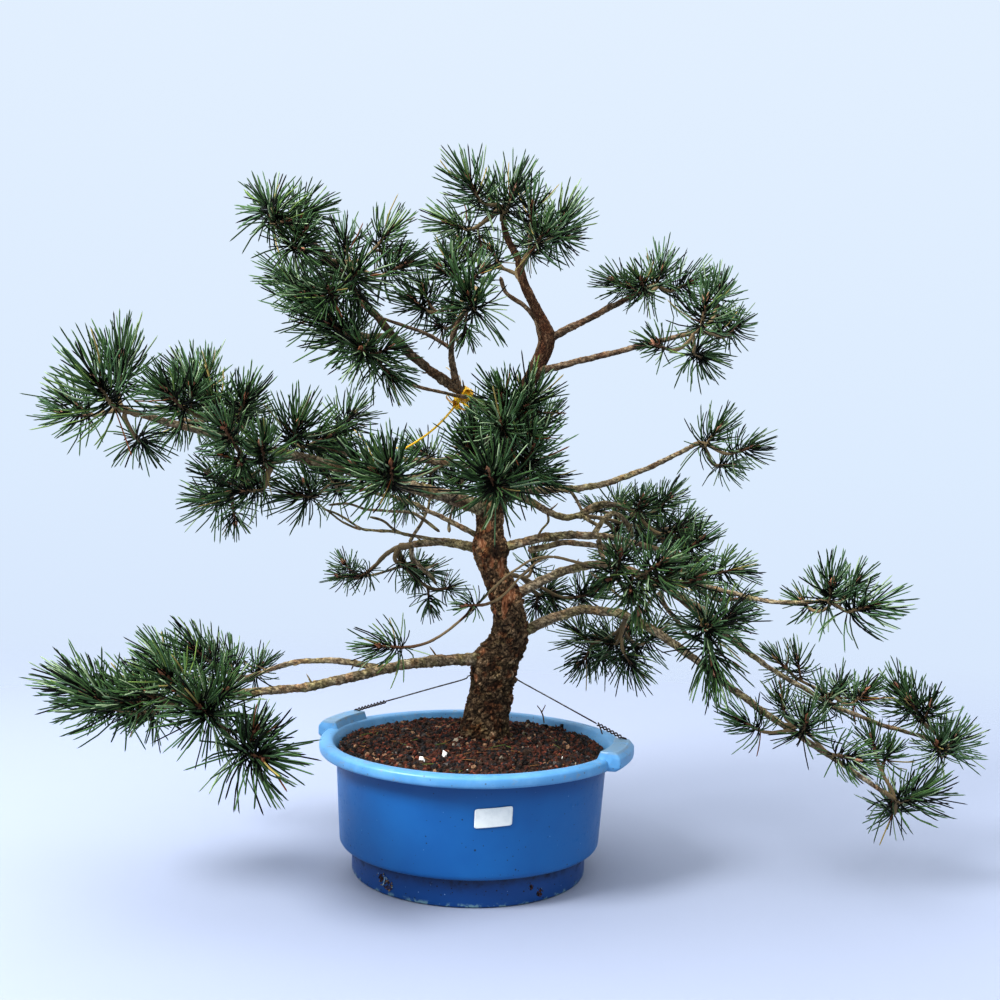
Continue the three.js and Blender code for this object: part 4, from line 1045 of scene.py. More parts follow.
def growPot(heap):
    # One closed profile from the underside's middle, out and up the wall, over the rim and down
    # the inside, carried once round: x and y are its radius times cos and sin, with the waves
    p = pot
    wall, foot, body, shoulder = p["wall"], p["footRadius"], p["bodyRadius"], p["shoulderRadius"]
    ledge = p["footHeight"] + 0.5
    profile = subdivide(roundedLine([
        (0, 0, 0), (foot, 0, 2), (foot + 0.8, p["footHeight"], 2.5), (body, ledge + 1.5, 5),
        (shoulder, p["lipBottom"], 3), (p["lipRadius"] - 1.5, p["lipBottom"] + 0.3, 4),
        (p["lipRadius"], p["lipBottom"] + 7, 4), (p["lipRadius"] - 1.5, p["lipTop"] - 1, 6),
        (p["lipInner"] + 4, p["lipTop"], 6), (p["lipInner"], p["lipTop"] - 7, 4),
        (shoulder - wall, p["lipBottom"] - 4, 3), (body - wall, ledge + wall, 4),
        (foot - wall, ledge + wall, 2), (foot - wall, wall, 2), (0, wall, 0),
    ]), 5.0)
    radius, height = profile[:, :1], profile[:, 1:]
    turn, sides = circle(p["around"]), p["around"]
    wave = 1 + p["wobble"] / 160 * waves(turn, p["wobbleWaves"])
    radius = radius * np.where(height > 30, wave, 1.0)
    level = height + np.where(height > 130, waves(turn, p["rimWaves"]), 0.0)
    grid = np.stack([radius * np.cos(turn), radius * np.sin(turn), level], axis=-1)
    # at both ends of the profile the ring is one point
    points = np.concatenate([np.zeros((1, 3)), grid[1:-1].reshape(-1, 3), wall * up[None]])
    end = len(points) - 1
    foot, head = fan(0, 1, sides), fan(end, end - sides, sides, True)
    heap.add(points, np.concatenate([foot, ringWalls(len(profile) - 2, sides, 1), head]))


def growLug(heap, azimuth):
    # A closed block swept over a short arc of the rim: at both ends its outer side slants in
    # and its top drops steeply, and its corners are a little rounded
    half, steep = lug["halfAngle"], lug["endAngle"]
    end = np.concatenate([np.linspace(-0.6, steep, 9), np.linspace(steep + 0.3, half, 34)])
    angle = np.concatenate([end - half, (half - end)[-2::-1]])
    rings = []
    for behind, degrees in zip(half - np.abs(angle), np.radians(azimuth + angle)):
        wide, tall = (min(1, max(0, behind / reach)) for reach in (lug["bevelAngle"], steep))
        outer = (pot["lipRadius"] - 1) + (lug["reach"] - pot["lipRadius"] + 1) * wide
        high = (pot["lipTop"] - 1) + (lug["top"] - pot["lipTop"] + 1) * tall
        inner, low, rounding = pot["lipInner"] + 0.5, lug["bottom"], lug["round"]
        corners = [
            (outer - 12, low, 1), (outer - 5, low + 0.5, rounding), (outer, low + 5, rounding),
            (outer, high - 7, rounding), (outer - 6, high, rounding), (lug["innerTop"], high, rounding),
            (inner, low + 5, 1),
        ]
        section = roundedLine(corners[-1:] + corners + corners[:1], 5)[1:-1]
        x, y = section[:, 0] * math.cos(degrees), section[:, 0] * math.sin(degrees)
        rings.append(np.stack([x, y, section[:, 1]], axis=1))
    rings = np.array(rings)
    steps, sides = rings.shape[:2]
    hearts = np.stack([rings[0].mean(axis=0), rings[-1].mean(axis=0)])
    heart = steps * sides
    caps = fan(heart, 0, sides), fan(heart + 1, heart - sides, sides, True)
    faces = np.concatenate([ringWalls(steps, sides), *caps])
    heap.add(np.concatenate([rings.reshape(-1, 3), hearts]), faces)


potHeap = Heap()
growPot(potHeap)
for azimuth in lug["azimuths"]:
    growLug(potHeap, azimuth)

# Soil: loose granules over the frame's soil
soil = {
    "edgeHeight": 142, "edgeRadius": 159.5, "shoulderHeight": 146, "shoulderRadius": 120,
    "crownHeight": 149.7, "crownRadius": 75,
    "count": 5600, "sizes": (1.7, 4.5), "sizesPower": 1.6, "swell": (0.9, 16), "rise": (-0.6, 1.5), "seed": 5,
    # share of the granules in each of the first seven earth paints
    "shares": [0.24, 0.22, 0.2, 0.23, 0.025, 0.06, 0.025],
    # thin shreds on every ninth granule: their paints, the shares of those, flatness and length
    "shredPaints": [0, 5, 8, 9], "shredShares": [0.4, 0.4, 0.08, 0.12], "shredEach": 9, "shredLift": 1.2,
    "shredSizes": (1.2, 2.0), "shredFlatness": (0.35, 0.6), "shredLength": 2.6,
}


def soilTop(radius):  # height of the frame's soil at that distance from its middle
    heights = [soil["crownHeight"], soil["crownHeight"], soil["shoulderHeight"], soil["edgeHeight"]]
    return np.interp(radius, [0, soil["crownRadius"], soil["shoulderRadius"], soil["edgeRadius"]], heights)


def ball():  # the twelve corners and twenty faces of an icosahedron of radius 1
    g = (1 + math.sqrt(5)) / 2
    corners = np.array([
        (-1, g, 0), (1, g, 0), (-1, -g, 0), (1, -g, 0), (0, -1, g), (0, 1, g), (0, -1, -g), (0, 1, -g),
        (g, 0, -1), (g, 0, 1), (-g, 0, -1), (-g, 0, 1),
    ])
    faces = np.array([
        (0, 11, 5), (0, 5, 1), (0, 1, 7), (0, 7, 10), (0, 10, 11), (1, 5, 9), (5, 11, 4), (11, 10, 2),
        (10, 7, 6), (7, 1, 8), (3, 9, 4), (3, 4, 2), (3, 2, 6), (3, 6, 8), (3, 8, 9), (4, 9, 5),
        (2, 4, 11), (6, 2, 10), (8, 6, 7), (9, 8, 1),
    ])
    return unit(corners), faces


def scatterStones(heap, places, sizes, rng, tints, flatness=(0.5, 0.95), long=1.0):
    # Each stone is the ball with its corners moved at random, squashed along its own axes,
    # turned at random and set down at its place
    corners, faces = ball()
    count = len(places)
    shaped = corners[None] * rng.uniform(0.72, 1.2, size=(count, 12, 1))
    squash = [np.full(count, long), rng.uniform(0.6, 1, count), rng.uniform(*flatness, count)]
    shaped = shaped * np.stack(squash, axis=1)[:, None]
    w, x, y, z = unit(rng.normal(size=(count, 4))).T
    spin = np.array([
        [1 - 2 * (y * y + z * z), 2 * (x * y - w * z), 2 * (x * z + w * y)],
        [2 * (x * y + w * z), 1 - 2 * (x * x + z * z), 2 * (y * z - w * x)],
        [2 * (x * z - w * y), 2 * (y * z + w * x), 1 - 2 * (x * x + y * y)],
    ]).transpose(2, 0, 1)
    points = np.einsum("nij,nkj->nki", spin, shaped) * sizes[:, None, None] + places[:, None]
    index = faces[None] + (np.arange(count) * 12)[:, None, None]
    heap.add(points.reshape(-1, 3), index.reshape(-1, 3), np.repeat(tints, 20))


def strewSoil(heap):
    # Granules at random over the disc, the square root of a random share of its radius out
    p, count = soil, soil["count"]
    rng = np.random.default_rng(p["seed"])
    radius = p["edgeRadius"] * np.sqrt(rng.uniform(0, 1, count))
    turn = rng.uniform(0, 2 * math.pi, count)
    small, large = p["sizes"]
    sizes = small + (large - small) * rng.uniform(0, 1, count) ** p["sizesPower"]
    radius = np.minimum(radius, p["edgeRadius"] - sizes)
    grain = np.stack([radius * np.cos(turn), radius * np.sin(turn), soilTop(radius)], axis=1)
    depth, width = p["swell"]
    grain[:, 2] += depth * swell(grain, width, 3) + rng.uniform(*p["rise"], count)
    dealt = rng.choice(7, size=count, p=p["shares"])
    scatterStones(heap, grain, sizes, rng, dealt)
    shreds = grain[::p["shredEach"]] + (0, 0, p["shredLift"])
    dealt = rng.choice(p["shredPaints"], size=len(shreds), p=p["shredShares"])
    sizes = rng.uniform(*p["shredSizes"], len(shreds))
    scatterStones(heap, shreds, sizes, rng, dealt, p["shredFlatness"], p["shredLength"])


soilHeap = Heap()
strewSoil(soilHeap)

# Litter on the soil: chips, a pale stone, dry twigs, a surface root and fallen needles
litter = {
    "whiteChips": [((-55, -101), 6.2), ((-30, -80), 5.4), ((-4, -128), 1.8), ((104, -64), 2.4)],
    "paleStones": [((-20, -14), 5.4), ((-13, 3), 3.4), ((60, -36), 2.8), ((-118, 12), 2.8)],
    "root": [(37, 6, 152), (34, -4, 151), (27, -22, 151), (26, -44, 150), (20, -62, 150)],
    "sprig": [(95, 126, 147), (92, 122, 158), (88, 120, 166), (84, 118, 172)],
    "sprigSide": [(90, 121, 161), (93, 120, 168), (95, 119, 173)],
    "bark": [((118, 116), 8), ((127, 110), 6), ((74, 132), 6), ((96, 110), 5)],
    "needles": 46, "needleReach": 140, "needleLengths": (14, 30), "needleRadii": (0, 0.7, 0.75, 0.7, 0.5, 0),
}


def layLitter(heap, twigs):
    # Flat stones set a little into the soil, twigs on curves through the listed points, and
    # needles that lie straight: start + way times s
    rng = np.random.default_rng(9)
    for key, number in (("whiteChips", 7), ("paleStones", 8), ("bark", 3)):
        for (x, y), size in litter[key]:
            place = np.array([[x, y, soilTop(math.hypot(x, y)) + 0.35 * size]])
            scatterStones(heap, place, np.array([float(size)]), rng, np.array([number]), (0.35, 0.6))
    for key, thick, young in (("root", 1.7, 0.55), ("sprig", 1.0, 0.2), ("sprigSide", 0.8, 0.2)):
        line = evenly(throughPoints(litter[key], 10), 26)
        twigTube(twigs, line, np.linspace(thick, 0.6 * thick, 26), 8, 31000, np.full(26, young))
    for _ in range(litter["needles"]):
        turn, far = rng.uniform(0, 6.3), litter["needleReach"] * math.sqrt(rng.uniform(0.04, 1))
        start = np.array([far * math.cos(turn), far * math.sin(turn), soilTop(far) + 2.2])
        way = unit(np.array([*rng.normal(size=2), 0.0])) * rng.uniform(*litter["needleLengths"])
        s = np.linspace(0, 1, 6)[:, None]
        line = start + way * s + up * rng.uniform(-1, 2) * s
        heap.add(*tubes(line[None], np.array([litter["needleRadii"]]), 4), rng.choice([9, 10]))


layLitter(soilHeap, twigHeap)

# Guy wire: two strands wound together at each end, one strand round the back of the trunk
wire = {
    "ends": [(-149, 100, 163.8), (177.3, -26.5, 163.8)], "loopCentre": (22, 29), "loopRadius": 33,
    "loopHeight": 220, "loopPoints": 6, "loopFrom": 190, "loopStep": -40, "radius": 0.85,
    "twistLengths": (46, 33), "twistRadius": 1.6, "pitch": 10.0, "straightTo": 0.7,
    "stations": 150, "sides": 8,
    "tail": [(150, -15.5, 177), (150, -21, 178), (152, -25, 173), (154, -27, 167)],
}


def strand(heap, line, thickness=1.0):
    radii = np.full((1, len(line)), wire["radius"] * thickness)
    radii[0, 0] = radii[0, -1] = 0
    heap.add(*tubes(line[None], radii, wire["sides"]))


def growWire(heap):
    # Round tubes on lines: at each end two strands wind round the straight way in, line plus
    # the twist's radius times cos and sin of the way gone over the pitch, half a turn apart
    ends = [np.array(end, float) for end in wire["ends"]]
    turns = np.radians(wire["loopFrom"] + wire["loopStep"] * np.arange(wire["loopPoints"]))
    (x, y), reach = wire["loopCentre"], wire["loopRadius"]
    height = np.full(len(turns), wire["loopHeight"])
    loop = np.stack([x + reach * np.cos(turns), y + reach * np.sin(turns), height], axis=1)
    halves = []
    for end, inner, length in zip(ends, (loop[0], loop[-1]), wire["twistLengths"]):
        span = np.linalg.norm(inner - end)
        share = np.linspace(0, length / span, wire["stations"])
        line = end + (inner - end) * share[:, None]
        around = outward(line[None], 1)[0, :, 0]
        other = np.cross(unit(inner - end), around)
        wound = share * span / wire["pitch"] * 2 * math.pi
        for start in (0, math.pi):
            turn = (wound + start)[:, None]
            strand(heap, line + wire["twistRadius"] * (np.cos(turn) * around + np.sin(turn) * other))
        halves.append([end + (inner - end) * (length / span), end + (inner - end) * wire["straightTo"]])
    route = [*halves[0], *loop, *halves[1][::-1]]
    strand(heap, evenly(throughPoints(route, 16), wire["stations"]))
    strand(heap, evenly(throughPoints(wire["tail"], 10), 30), 0.9)
    for end in ends:  # the last turn goes down into the lug
        out = end * (1, 1, 0)
        down = [end, end + out * 0.025 - 1.2 * up, end + out * 0.035 - 4 * up]
        strand(heap, evenly(throughPoints(down, 8), 16), 1.3)


wireHeap = Heap()
growWire(wireHeap)

# Label: a rounded card that follows the pot's side
label = {
    "azimuth": -80.8, "width": 41, "height": 21, "middle": 103.7, "tilt": 4, "corner": 2.2, "lift": 0.35,
    "thickness": 0.35, "curl": 0.35, "rings": 13, "around": 96,
}


def growLabel(heap):
    # Rings of a rounded rectangle from its middle outward, wrapped on the pot, front and back
    rings, around = label["rings"], label["around"]
    angle = circle(around)
    half, corner = np.array([label["width"], label["height"]]) / 2, label["corner"]
    way = np.stack([np.cos(angle), np.sin(angle)], axis=1)
    edge = way / np.max(np.abs(way) / half, axis=1)[:, None]
    core = np.clip(edge, -(half - corner), half - corner)
    beyond = np.minimum(corner, np.linalg.norm(edge - core, axis=1, keepdims=True))
    edge = core + unit(edge - core + 1e-9) * beyond
    share = np.linspace(0, 1, rings + 1)[1:]
    flat = np.concatenate([np.zeros((1, 2)), (edge[None] * share[:, None, None]).reshape(-1, 2)])

    def wrap(offset):
        curl = label["curl"] * np.clip(np.abs(flat[:, 0]) / half[0], 0, 1) ** 8 * (flat[:, 1] > 0)
        high = label["middle"] + flat[:, 1] + flat[:, 0] * math.tan(math.radians(label["tilt"]))
        heights, radii = [pot["footHeight"], pot["lipBottom"]], [pot["bodyRadius"], pot["shoulderRadius"]]
        radius = np.interp(high, heights, radii)
        turn = math.radians(label["azimuth"]) + flat[:, 0] / radius
        radius = radius + offset + curl
        return np.stack([radius * np.cos(turn), radius * np.sin(turn), high], axis=1)

    size, here = len(flat), np.arange(around)
    beside = (here + 1) % around
    ring = (np.arange(rings - 1) * around)[:, None] + 1
    a, b = ring + here, ring + beside
    walls = np.stack([a, a + around, b + around, a, b + around, b], axis=-1).reshape(-1, 3)
    front = np.concatenate([fan(0, 1, around, True), walls])
    a, b = size - around + here, size - around + beside
    sides = [np.stack([a, a + size, b + size], axis=-1), np.stack([a, b + size, b], axis=-1)]
    points = np.concatenate([wrap(label["lift"] + label["thickness"]), wrap(label["lift"])])
    heap.add(points, np.concatenate([front, front[:, ::-1] + size, *sides]))


labelHeap = Heap()
growLabel(labelHeap)

# Tie: a flat ribbon wound round the bough, a knot with ears, a string and loose ends
tie = {
    "on": "upper_left", "at": 0.195, "looseness": 1.4, "width": 8.5, "thick": 0.9, "halfTurns": 4.4,
    # ears of the knot: the middle of each bow, its way and its length
    "ears": [
        ((-30, -16, 555), (-1.0, -0.1, 0.6), 15), ((-30, -17, 554), (0.9, -0.3, -0.45), 15),
        ((-22, -14, 560), (0.55, -0.3, 1.0), 13), ((-31, -17, 555), (0.1, -0.5, -1.0), 8),
        ((-31, -17, 556), (0.2, -0.9, 0.3), 8),
    ],
    "earWidth": 8.0, "earThick": 0.8, "earOpen": 3.6,
    "string": [(-31, -16, 553), (-41, -22, 539), (-55, -30, 523), (-71, -38, 509), (-91, -46, 495)],
    "stringWidth": 2.6, "stringThick": 2.5,
    # loose ends, each as a short line
    "scraps": [
        [(-45, -14, 597), (-41, -16, 594), (-37, -14, 590)],
        [(-29, -13, 588), (-27, -14, 582), (-26, -13, 576)],
        [(-91, -46, 495), (-99, -50, 497), (-106, -52, 492)],
        [(-147, -60, 517), (-138, -62, 508), (-129, -60, 497)],
    ],
    "scrapWidth": 3.4, "scrapThick": 0.7,
}


def ribbon(heap, line, across, width, thick):
    # A flat band along a line: its section is an ellipse, width along across, thick square to it
    line = np.asarray(line, float)
    along = unit(np.gradient(line, axis=0))
    across = unit(across - np.sum(across * along, axis=1, keepdims=True) * along)
    over = np.cross(along, across)
    count, sides = len(line), 10
    turn = circle(sides)[None, :, None]
    wide = width / 2 * np.cos(turn) * across[:, None]
    ring = line[:, None] + (wide + thick / 2 * np.sin(turn) * over[:, None])
    points = np.concatenate([line[:1], ring[1:-1].reshape(-1, 3), line[-1:]])
    heap.add(points, tubes(line[None], np.ones((1, count)), sides)[1])


def growTie(heap):
    # A band wound round the bough in a widening helix, and bows that go out and back along
    # their way: length (1 - cos t) / 2 along it, the opening times sin t across it
    limb = limbs[tie["on"]]
    centre, along = limb.point(tie["at"]), limb.tangent(tie["at"])
    first = unit(np.cross(along, up))
    second = np.cross(along, first)
    turn = np.linspace(0, tie["halfTurns"] * math.pi, 110)
    reach = limb.radius(tie["at"]) + tie["looseness"] + 0.5 * np.sin(turn * 1.5) + 0.25 * turn / math.pi
    line = centre + reach[:, None] * (np.cos(turn)[:, None] * first + np.sin(turn)[:, None] * second)
    line = line + along * (np.sin(turn * 0.5) * 2.2)[:, None]
    ribbon(heap, line, along, tie["width"], tie["thick"])
    for middle, way, length in tie["ears"]:
        way = unit(np.array(way))
        side = unit(np.cross(way, (0.2, 1.0, 0.3)))
        t = np.linspace(0, 2 * math.pi, 26)
        bow = np.array(middle) + way * (length * (1 - np.cos(t)) / 2)[:, None]
        bow = bow + side * (tie["earOpen"] * np.sin(t))[:, None]
        ribbon(heap, bow, np.cross(way, side), tie["earWidth"], tie["earThick"])
    string = evenly(throughPoints(tie["string"], 10), 40)
    ribbon(heap, string, (0.0, 1.0, 0.0), tie["stringWidth"], tie["stringThick"])
    for scrap in tie["scraps"]:
        line = evenly(throughPoints(scrap, 8), 14)
        ribbon(heap, line, (0.0, 1.0, 0.3), tie["scrapWidth"], tie["scrapThick"])


tieHeap = Heap()
growTie(tieHeap)

# Damage on the foot of the pot: a torn hole and two drilled ones, plugged with earth
damage = {
    # the direction of each hole, its height, half width and half height; where shreds stand, how many
    "holes": [(-129.1, 12, 7.0, 5.5), (-133.5, 17, 4.0, 4.5), (-60.0, 18, 3.6, 3.8), (-54.8, 9.5, 4.6, 4.8)],
    "shreds": [(-129.1, 12, 16), (-134.0, 16.5, 9)],
    "grains": 46, "grainSizes": (1.0, 1.9), "shredRadii": (0, 0.9, 0.8, 0.5, 0),
}


def growDamage(heap):
    # Small stones over an ellipse on the foot, deeper towards its edge, and shreds that stand
    # out round it: start + way times s
    rng = np.random.default_rng(12)
    for azimuth, high, wide, tall in damage["holes"]:
        count = damage["grains"]
        turn, far = rng.uniform(0, 6.3, count), np.sqrt(rng.uniform(0, 1, count))
        a = math.radians(azimuth) + wide * far * np.cos(turn) / pot["footRadius"]
        r = pot["footRadius"] - 0.6 + 0.8 * (1 - far)
        places = np.stack([r * np.cos(a), r * np.sin(a), high + tall * far * np.sin(turn)], axis=1)
        sizes, dealt = rng.uniform(*damage["grainSizes"], count), rng.choice([0, 1, 3], count)
        scatterStones(heap, places, sizes, rng, dealt)
    for azimuth, high, count in damage["shreds"]:
        for _ in range(count):
            turn = rng.uniform(0, 6.3)
            a = math.radians(azimuth) + 6.4 * math.cos(turn) / pot["footRadius"]
            out = np.array([math.cos(a), math.sin(a), 0.0])
            start = out * (pot["footRadius"] - 0.4) + up * (high + 5.2 * math.sin(turn))
            way = out * rng.uniform(1.5, 3.2) + up * rng.uniform(-2.5, 2.5) + rng.normal(size=3) * 1.2
            s = np.linspace(0, 1, 5)[:, None]
            shred = tubes((start + way * s)[None], np.array([damage["shredRadii"]]), 5)
            heap.add(*shred, rng.choice([8, 9]))


damageHeap = Heap()
growDamage(damageHeap)
print("pot, soil and small pieces made")


# Paints
def barkPaint():
    paint = Paint("fissured bark", roughness=0.9, specular=0.15)
    tone, crack, peel = (paint.mark(name) for name in ("tone", "crack", "peel"))
    height = paint.height()
    flake = paint.flakes(2.4, paint.warped(2.6, 3.2))
    fine, blotch = paint.noise(1.3, 4, 0.7), paint.noise(8, 4, 0.65)
    patch, broad = paint.noise(15, 3, 0.6), paint.noise(30, 3)
    value = tone * 0.4 + flake * 0.34 + fine * 0.6 + blotch * 0.7 - 0.66
    colour = paint.ramp(value, [
        (0.1, tint(32, 23, 16)), (0.9, tint(226, 196, 164)), (0.36, tint(84, 66, 49)),
        (0.6, tint(141, 117, 89)),
    ])
    # red-brown, grey-green, dark and pale stains over the plates
    colour = paint.stain(paint.band(patch, 0.5, 0.62) * 0.75, colour, 1.1, 0.62, 0.45)
    colour = paint.stain(paint.band(paint.noise(19, 4, 0.6), 0.5, 0.62) * 0.6, colour, 0.88, 0.94, 0.74)
    colour = paint.stain(paint.band(broad, 0.52, 0.62) * 0.65, colour, 0.5, 0.46, 0.44)
    middle = paint.band(height, 0.29, 0.33) * (1 - paint.band(height, 0.45, 0.5))
    colour = paint.stain(middle * 0.6, colour, 1.75, 1.6, 1.45)
    # under the peeled bark it is orange, in streaks that run up the trunk
    streak = paint.noise(3.2, 3, 0.6, paint.stretched(1, 1, 0.3))
    bare = paint.ramp(streak, [
        (0.32, tint(74, 42, 27)), (0.7, tint(212, 166, 128)), (0.5, tint(152, 96, 64)),
    ])
    colour = paint.mix(peel * 0.8, colour, bare)
    colour = paint.mix(paint.band(height, 0.5, 0.62) * 0.5, colour, tint(88, 56, 40))
    # darkening in the cracks between plates, partly their own dark colour and partly painted shade, and
    # painted shade at the listed overhang places; peeled bark gets less of it
    shade = (1 - paint.band(crack, 0.05, 0.7)) * (1 - peel * 0.7)
    colour = paint.mix(shade * 0.75, colour, tint(20, 13, 9))
    return paint.feed("Base Color", colour).bump(flake * 0.5 + fine * 0.6, 0.9).material


def limbPaint():
    paint = Paint("bough bark", roughness=0.85, specular=0.2)
    tone, crack, height = paint.mark("tone"), paint.mark("crack"), paint.height()
    flake = paint.flakes(2.2, paint.warped(2.2, 2.4))
    fine, blotch = paint.noise(1.5, 4, 0.65), paint.noise(11, 4, 0.6)
    value = tone * 0.22 + flake * 0.2 + fine * 0.7 + blotch * 0.8 - 0.5
    colour = paint.ramp(value, [
        (0.12, tint(50, 41, 31)), (0.9, tint(226, 212, 186)), (0.4, tint(122, 106, 84)),
        (0.66, tint(180, 163, 134)),
    ])
    olive = paint.band(paint.noise(24, 3), 0.42, 0.62) * (1 - paint.band(height, 0.44, 0.56))
    colour = paint.stain(olive * 0.8, colour, 0.92, 1.0, 0.74)
    colour = paint.stain(paint.band(paint.noise(17, 3), 0.52, 0.62) * 0.5, colour, 1.1, 0.76, 0.6)
    colour = paint.mix(paint.band(height, 0.52, 0.6) * 0.5, colour, tint(84, 54, 38))
    # darkening in the cracks between plates: partly their own dark colour, partly painted shade
    colour = paint.mix((1 - paint.band(crack, 0.0, 0.6)) * 0.6, colour, tint(28, 20, 14))
    return paint.feed("Base Color", colour).bump(flake * 0.4 + fine * 0.8, 0.7).material


def twigPaint():
    paint = Paint("twig bark", roughness=0.75, specular=0.35)
    young = paint.mark("young")
    fine = paint.noise(1.6, 3)
    colour = paint.ramp(young + (fine - 0.5) * 0.7, [
        (0.0, tint(124, 106, 76)), (1.0, tint(100, 66, 44)), (0.5, tint(96, 76, 54)),
    ])
    colour = paint.mix(paint.band(fine, 0.55, 0.75) * 0.5, colour, tint(58, 40, 30))
    return paint.feed("Base Color", colour).bump(fine, 0.4).material


def needlePaint(number, colour):
    return Paint(f"needle tint {number + 1}", colour, 0.55, specular=0.12).material


def budPaint(number, colour):
    paint = Paint(f"bud {number + 1}", colour, 0.5)
    fine = paint.noise(1.2, 2)
    resin = paint.band(fine, 0.58, 0.7)
    paint.feed("Base Color", paint.mix(resin * 0.4, colour, tint(206, 178, 156)))
    return paint.bump(fine, 0.25).material


def potPaint():
    paint = Paint("speckled blue plastic", roughness=0.4, specular=0.4)
    height = paint.height()
    broad, cloud = paint.noise(90, 3), paint.noise(22, 4, 0.6)
    body = paint.mix(paint.band(broad, 0.35, 0.65), tint(6, 84, 142), tint(12, 92, 150))
    body = paint.mix(paint.spots(6.2, 0.5, 1.7) * 0.7, body, tint(14, 34, 64))
    body = paint.mix(paint.spots(13, 0.6, 2.6) * 0.8, body, tint(12, 24, 42))
    body = paint.mix(paint.spots(9, 0.4, 1.7) * 0.5, body, tint(112, 152, 190))
    # painted shade: the body darkened just under the rim's overhang
    body = paint.stain(paint.band(height, 0.112, 0.1375) * 0.8, body, 0.5, 0.66, 0.74)
    rim = paint.mix(paint.band(cloud, 0.4, 0.7), tint(84, 140, 182), tint(98, 150, 190))
    lugTop = paint.band(height, 0.1585, 0.1605) * paint.band(cloud, 0.3, 0.55)
    rim = paint.mix(lugTop * 0.5, rim, tint(128, 138, 140))
    worn = paint.band(paint.noise(6, 5, 0.7), 0.54, 0.68) * paint.band(paint.noise(30, 3), 0.42, 0.6)
    rim = paint.mix(worn * 0.55, rim, tint(140, 130, 112))
    rim = paint.mix(paint.spots(6, 0.6, 2.2) * 0.6, rim, tint(72, 70, 64))
    colour = paint.mix(paint.band(height, 0.1375, 0.1405), body, rim)
    below = 1 - paint.band(height, 0.0315, 0.0335)
    foot = paint.mix(paint.spots(5, 0.7, 2.0), tint(0, 62, 120), tint(8, 12, 18))
    foot = paint.mix(paint.spots(7.5, 0.35, 1.6), foot, tint(120, 150, 172))
    # the top of the foot, under the body's ledge, is painted darker and browner
    underLedge = paint.band(height + paint.noise(12, 4, 0.65) * 0.016, 0.026, 0.042) * below
    foot = paint.stain(underLedge * 0.9, foot, 0.55, 0.3, 0.28)
    colour = paint.mix(below, colour, foot)
    dirt = paint.band(height, 0.012, 0.034) * below * paint.band(paint.noise(14, 4, 0.65), 0.52, 0.64)
    colour = paint.mix(dirt * 0.75, colour, tint(20, 20, 26))
    scale = (1 - paint.band(height, 0.002, 0.006)) * paint.band(paint.noise(8, 3), 0.5, 0.6)
    colour = paint.mix(scale * 0.7, colour, tint(118, 150, 150))
    paint.feed("Base Color", colour)
    paint.feed("Roughness", paint.band(cloud, 0.2, 0.8) * 0.12 + worn * 0.2 + dirt * 0.3 + 0.34)
    return paint.bump(paint.noise(3.5, 3) * 0.5 + paint.noise(0.8, 2) * 0.2, 0.12).material


def stonePaint(name, colour, other):
    paint = Paint(name, colour, 0.92, specular=0.25)
    fine = paint.noise(1.6, 4, 0.65)
    paint.feed("Base Color", paint.mix(paint.band(fine, 0.38, 0.62), colour, other))
    return paint.bump(fine, 0.5).material


def earthPaint():
    paint = Paint("earth under the granules", roughness=0.95, specular=0.2)
    fine = paint.noise(3.2, 4, 0.7)
    colour = paint.ramp(fine, [(0.3, tint(22, 15, 12)), (0.75, tint(84, 48, 36)), (0.5, tint(46, 32, 27))])
    return paint.feed("Base Color", colour).bump(fine, 1.6).material


def wirePaint():
    paint = Paint("weathered steel", roughness=0.45, metallic=0.6)
    worn = paint.noise(5, 3)
    twisted = paint.band(paint.fromMiddle(), 0.0135, 0.0165)
    steel = paint.mix(paint.band(worn, 0.4, 0.65), tint(112, 112, 108), tint(70, 64, 56))
    paint.feed("Base Color", paint.mix(twisted * 0.85, steel, tint(44, 30, 22)))
    return paint.feed("Roughness", paint.band(worn, 0.3, 0.7) * 0.25 + 0.35).material


def labelPaint():
    paint = Paint("coated paper", roughness=0.35)
    faint = paint.noise(9, 4, 0.6)
    stained = paint.band(faint, 0.4, 0.75) * 0.6
    paint.feed("Base Color", paint.mix(stained, tint(214, 216, 212), tint(194, 198, 196)))
    return paint.bump(paint.noise(1.2, 2), 0.03).material


def tiePaint():
    paint = Paint("yellow film", roughness=0.4)
    fold = paint.noise(3, 3)
    paint.feed("Base Color", paint.mix(paint.band(fold, 0.3, 0.7), tint(232, 170, 14), tint(255, 216, 44)))
    return paint.bump(fold, 0.5).material


earthTints = [
    ("rust pumice", (88, 48, 34), (40, 22, 17)), ("brown pumice", (70, 52, 40), (32, 24, 19)),
    ("charcoal grit", (48, 46, 48), (20, 20, 22)), ("dark clay", (30, 24, 21), (14, 11, 10)),
    ("tan grit", (158, 126, 98), (112, 84, 64)), ("red lava", (128, 70, 52), (66, 34, 26)),
    ("grey grit", (100, 94, 90), (58, 54, 52)), ("white chip", (236, 236, 232), (214, 214, 208)),
    ("pale stone", (158, 148, 130), (118, 106, 92)), ("dry needle", (126, 92, 56), (90, 60, 38)),
    ("green needle", (92, 104, 52), (66, 76, 40)),
]
earthPaints = [stonePaint(name, tint(*a), tint(*b)) for name, a, b in earthTints]
needlePaints = [needlePaint(i, colour) for i, colour in enumerate(needleTints)]
budTints = [tint(146, 92, 64), tint(122, 76, 54), tint(168, 120, 92)]
budPaints = [budPaint(i, colour) for i, colour in enumerate(budTints)]

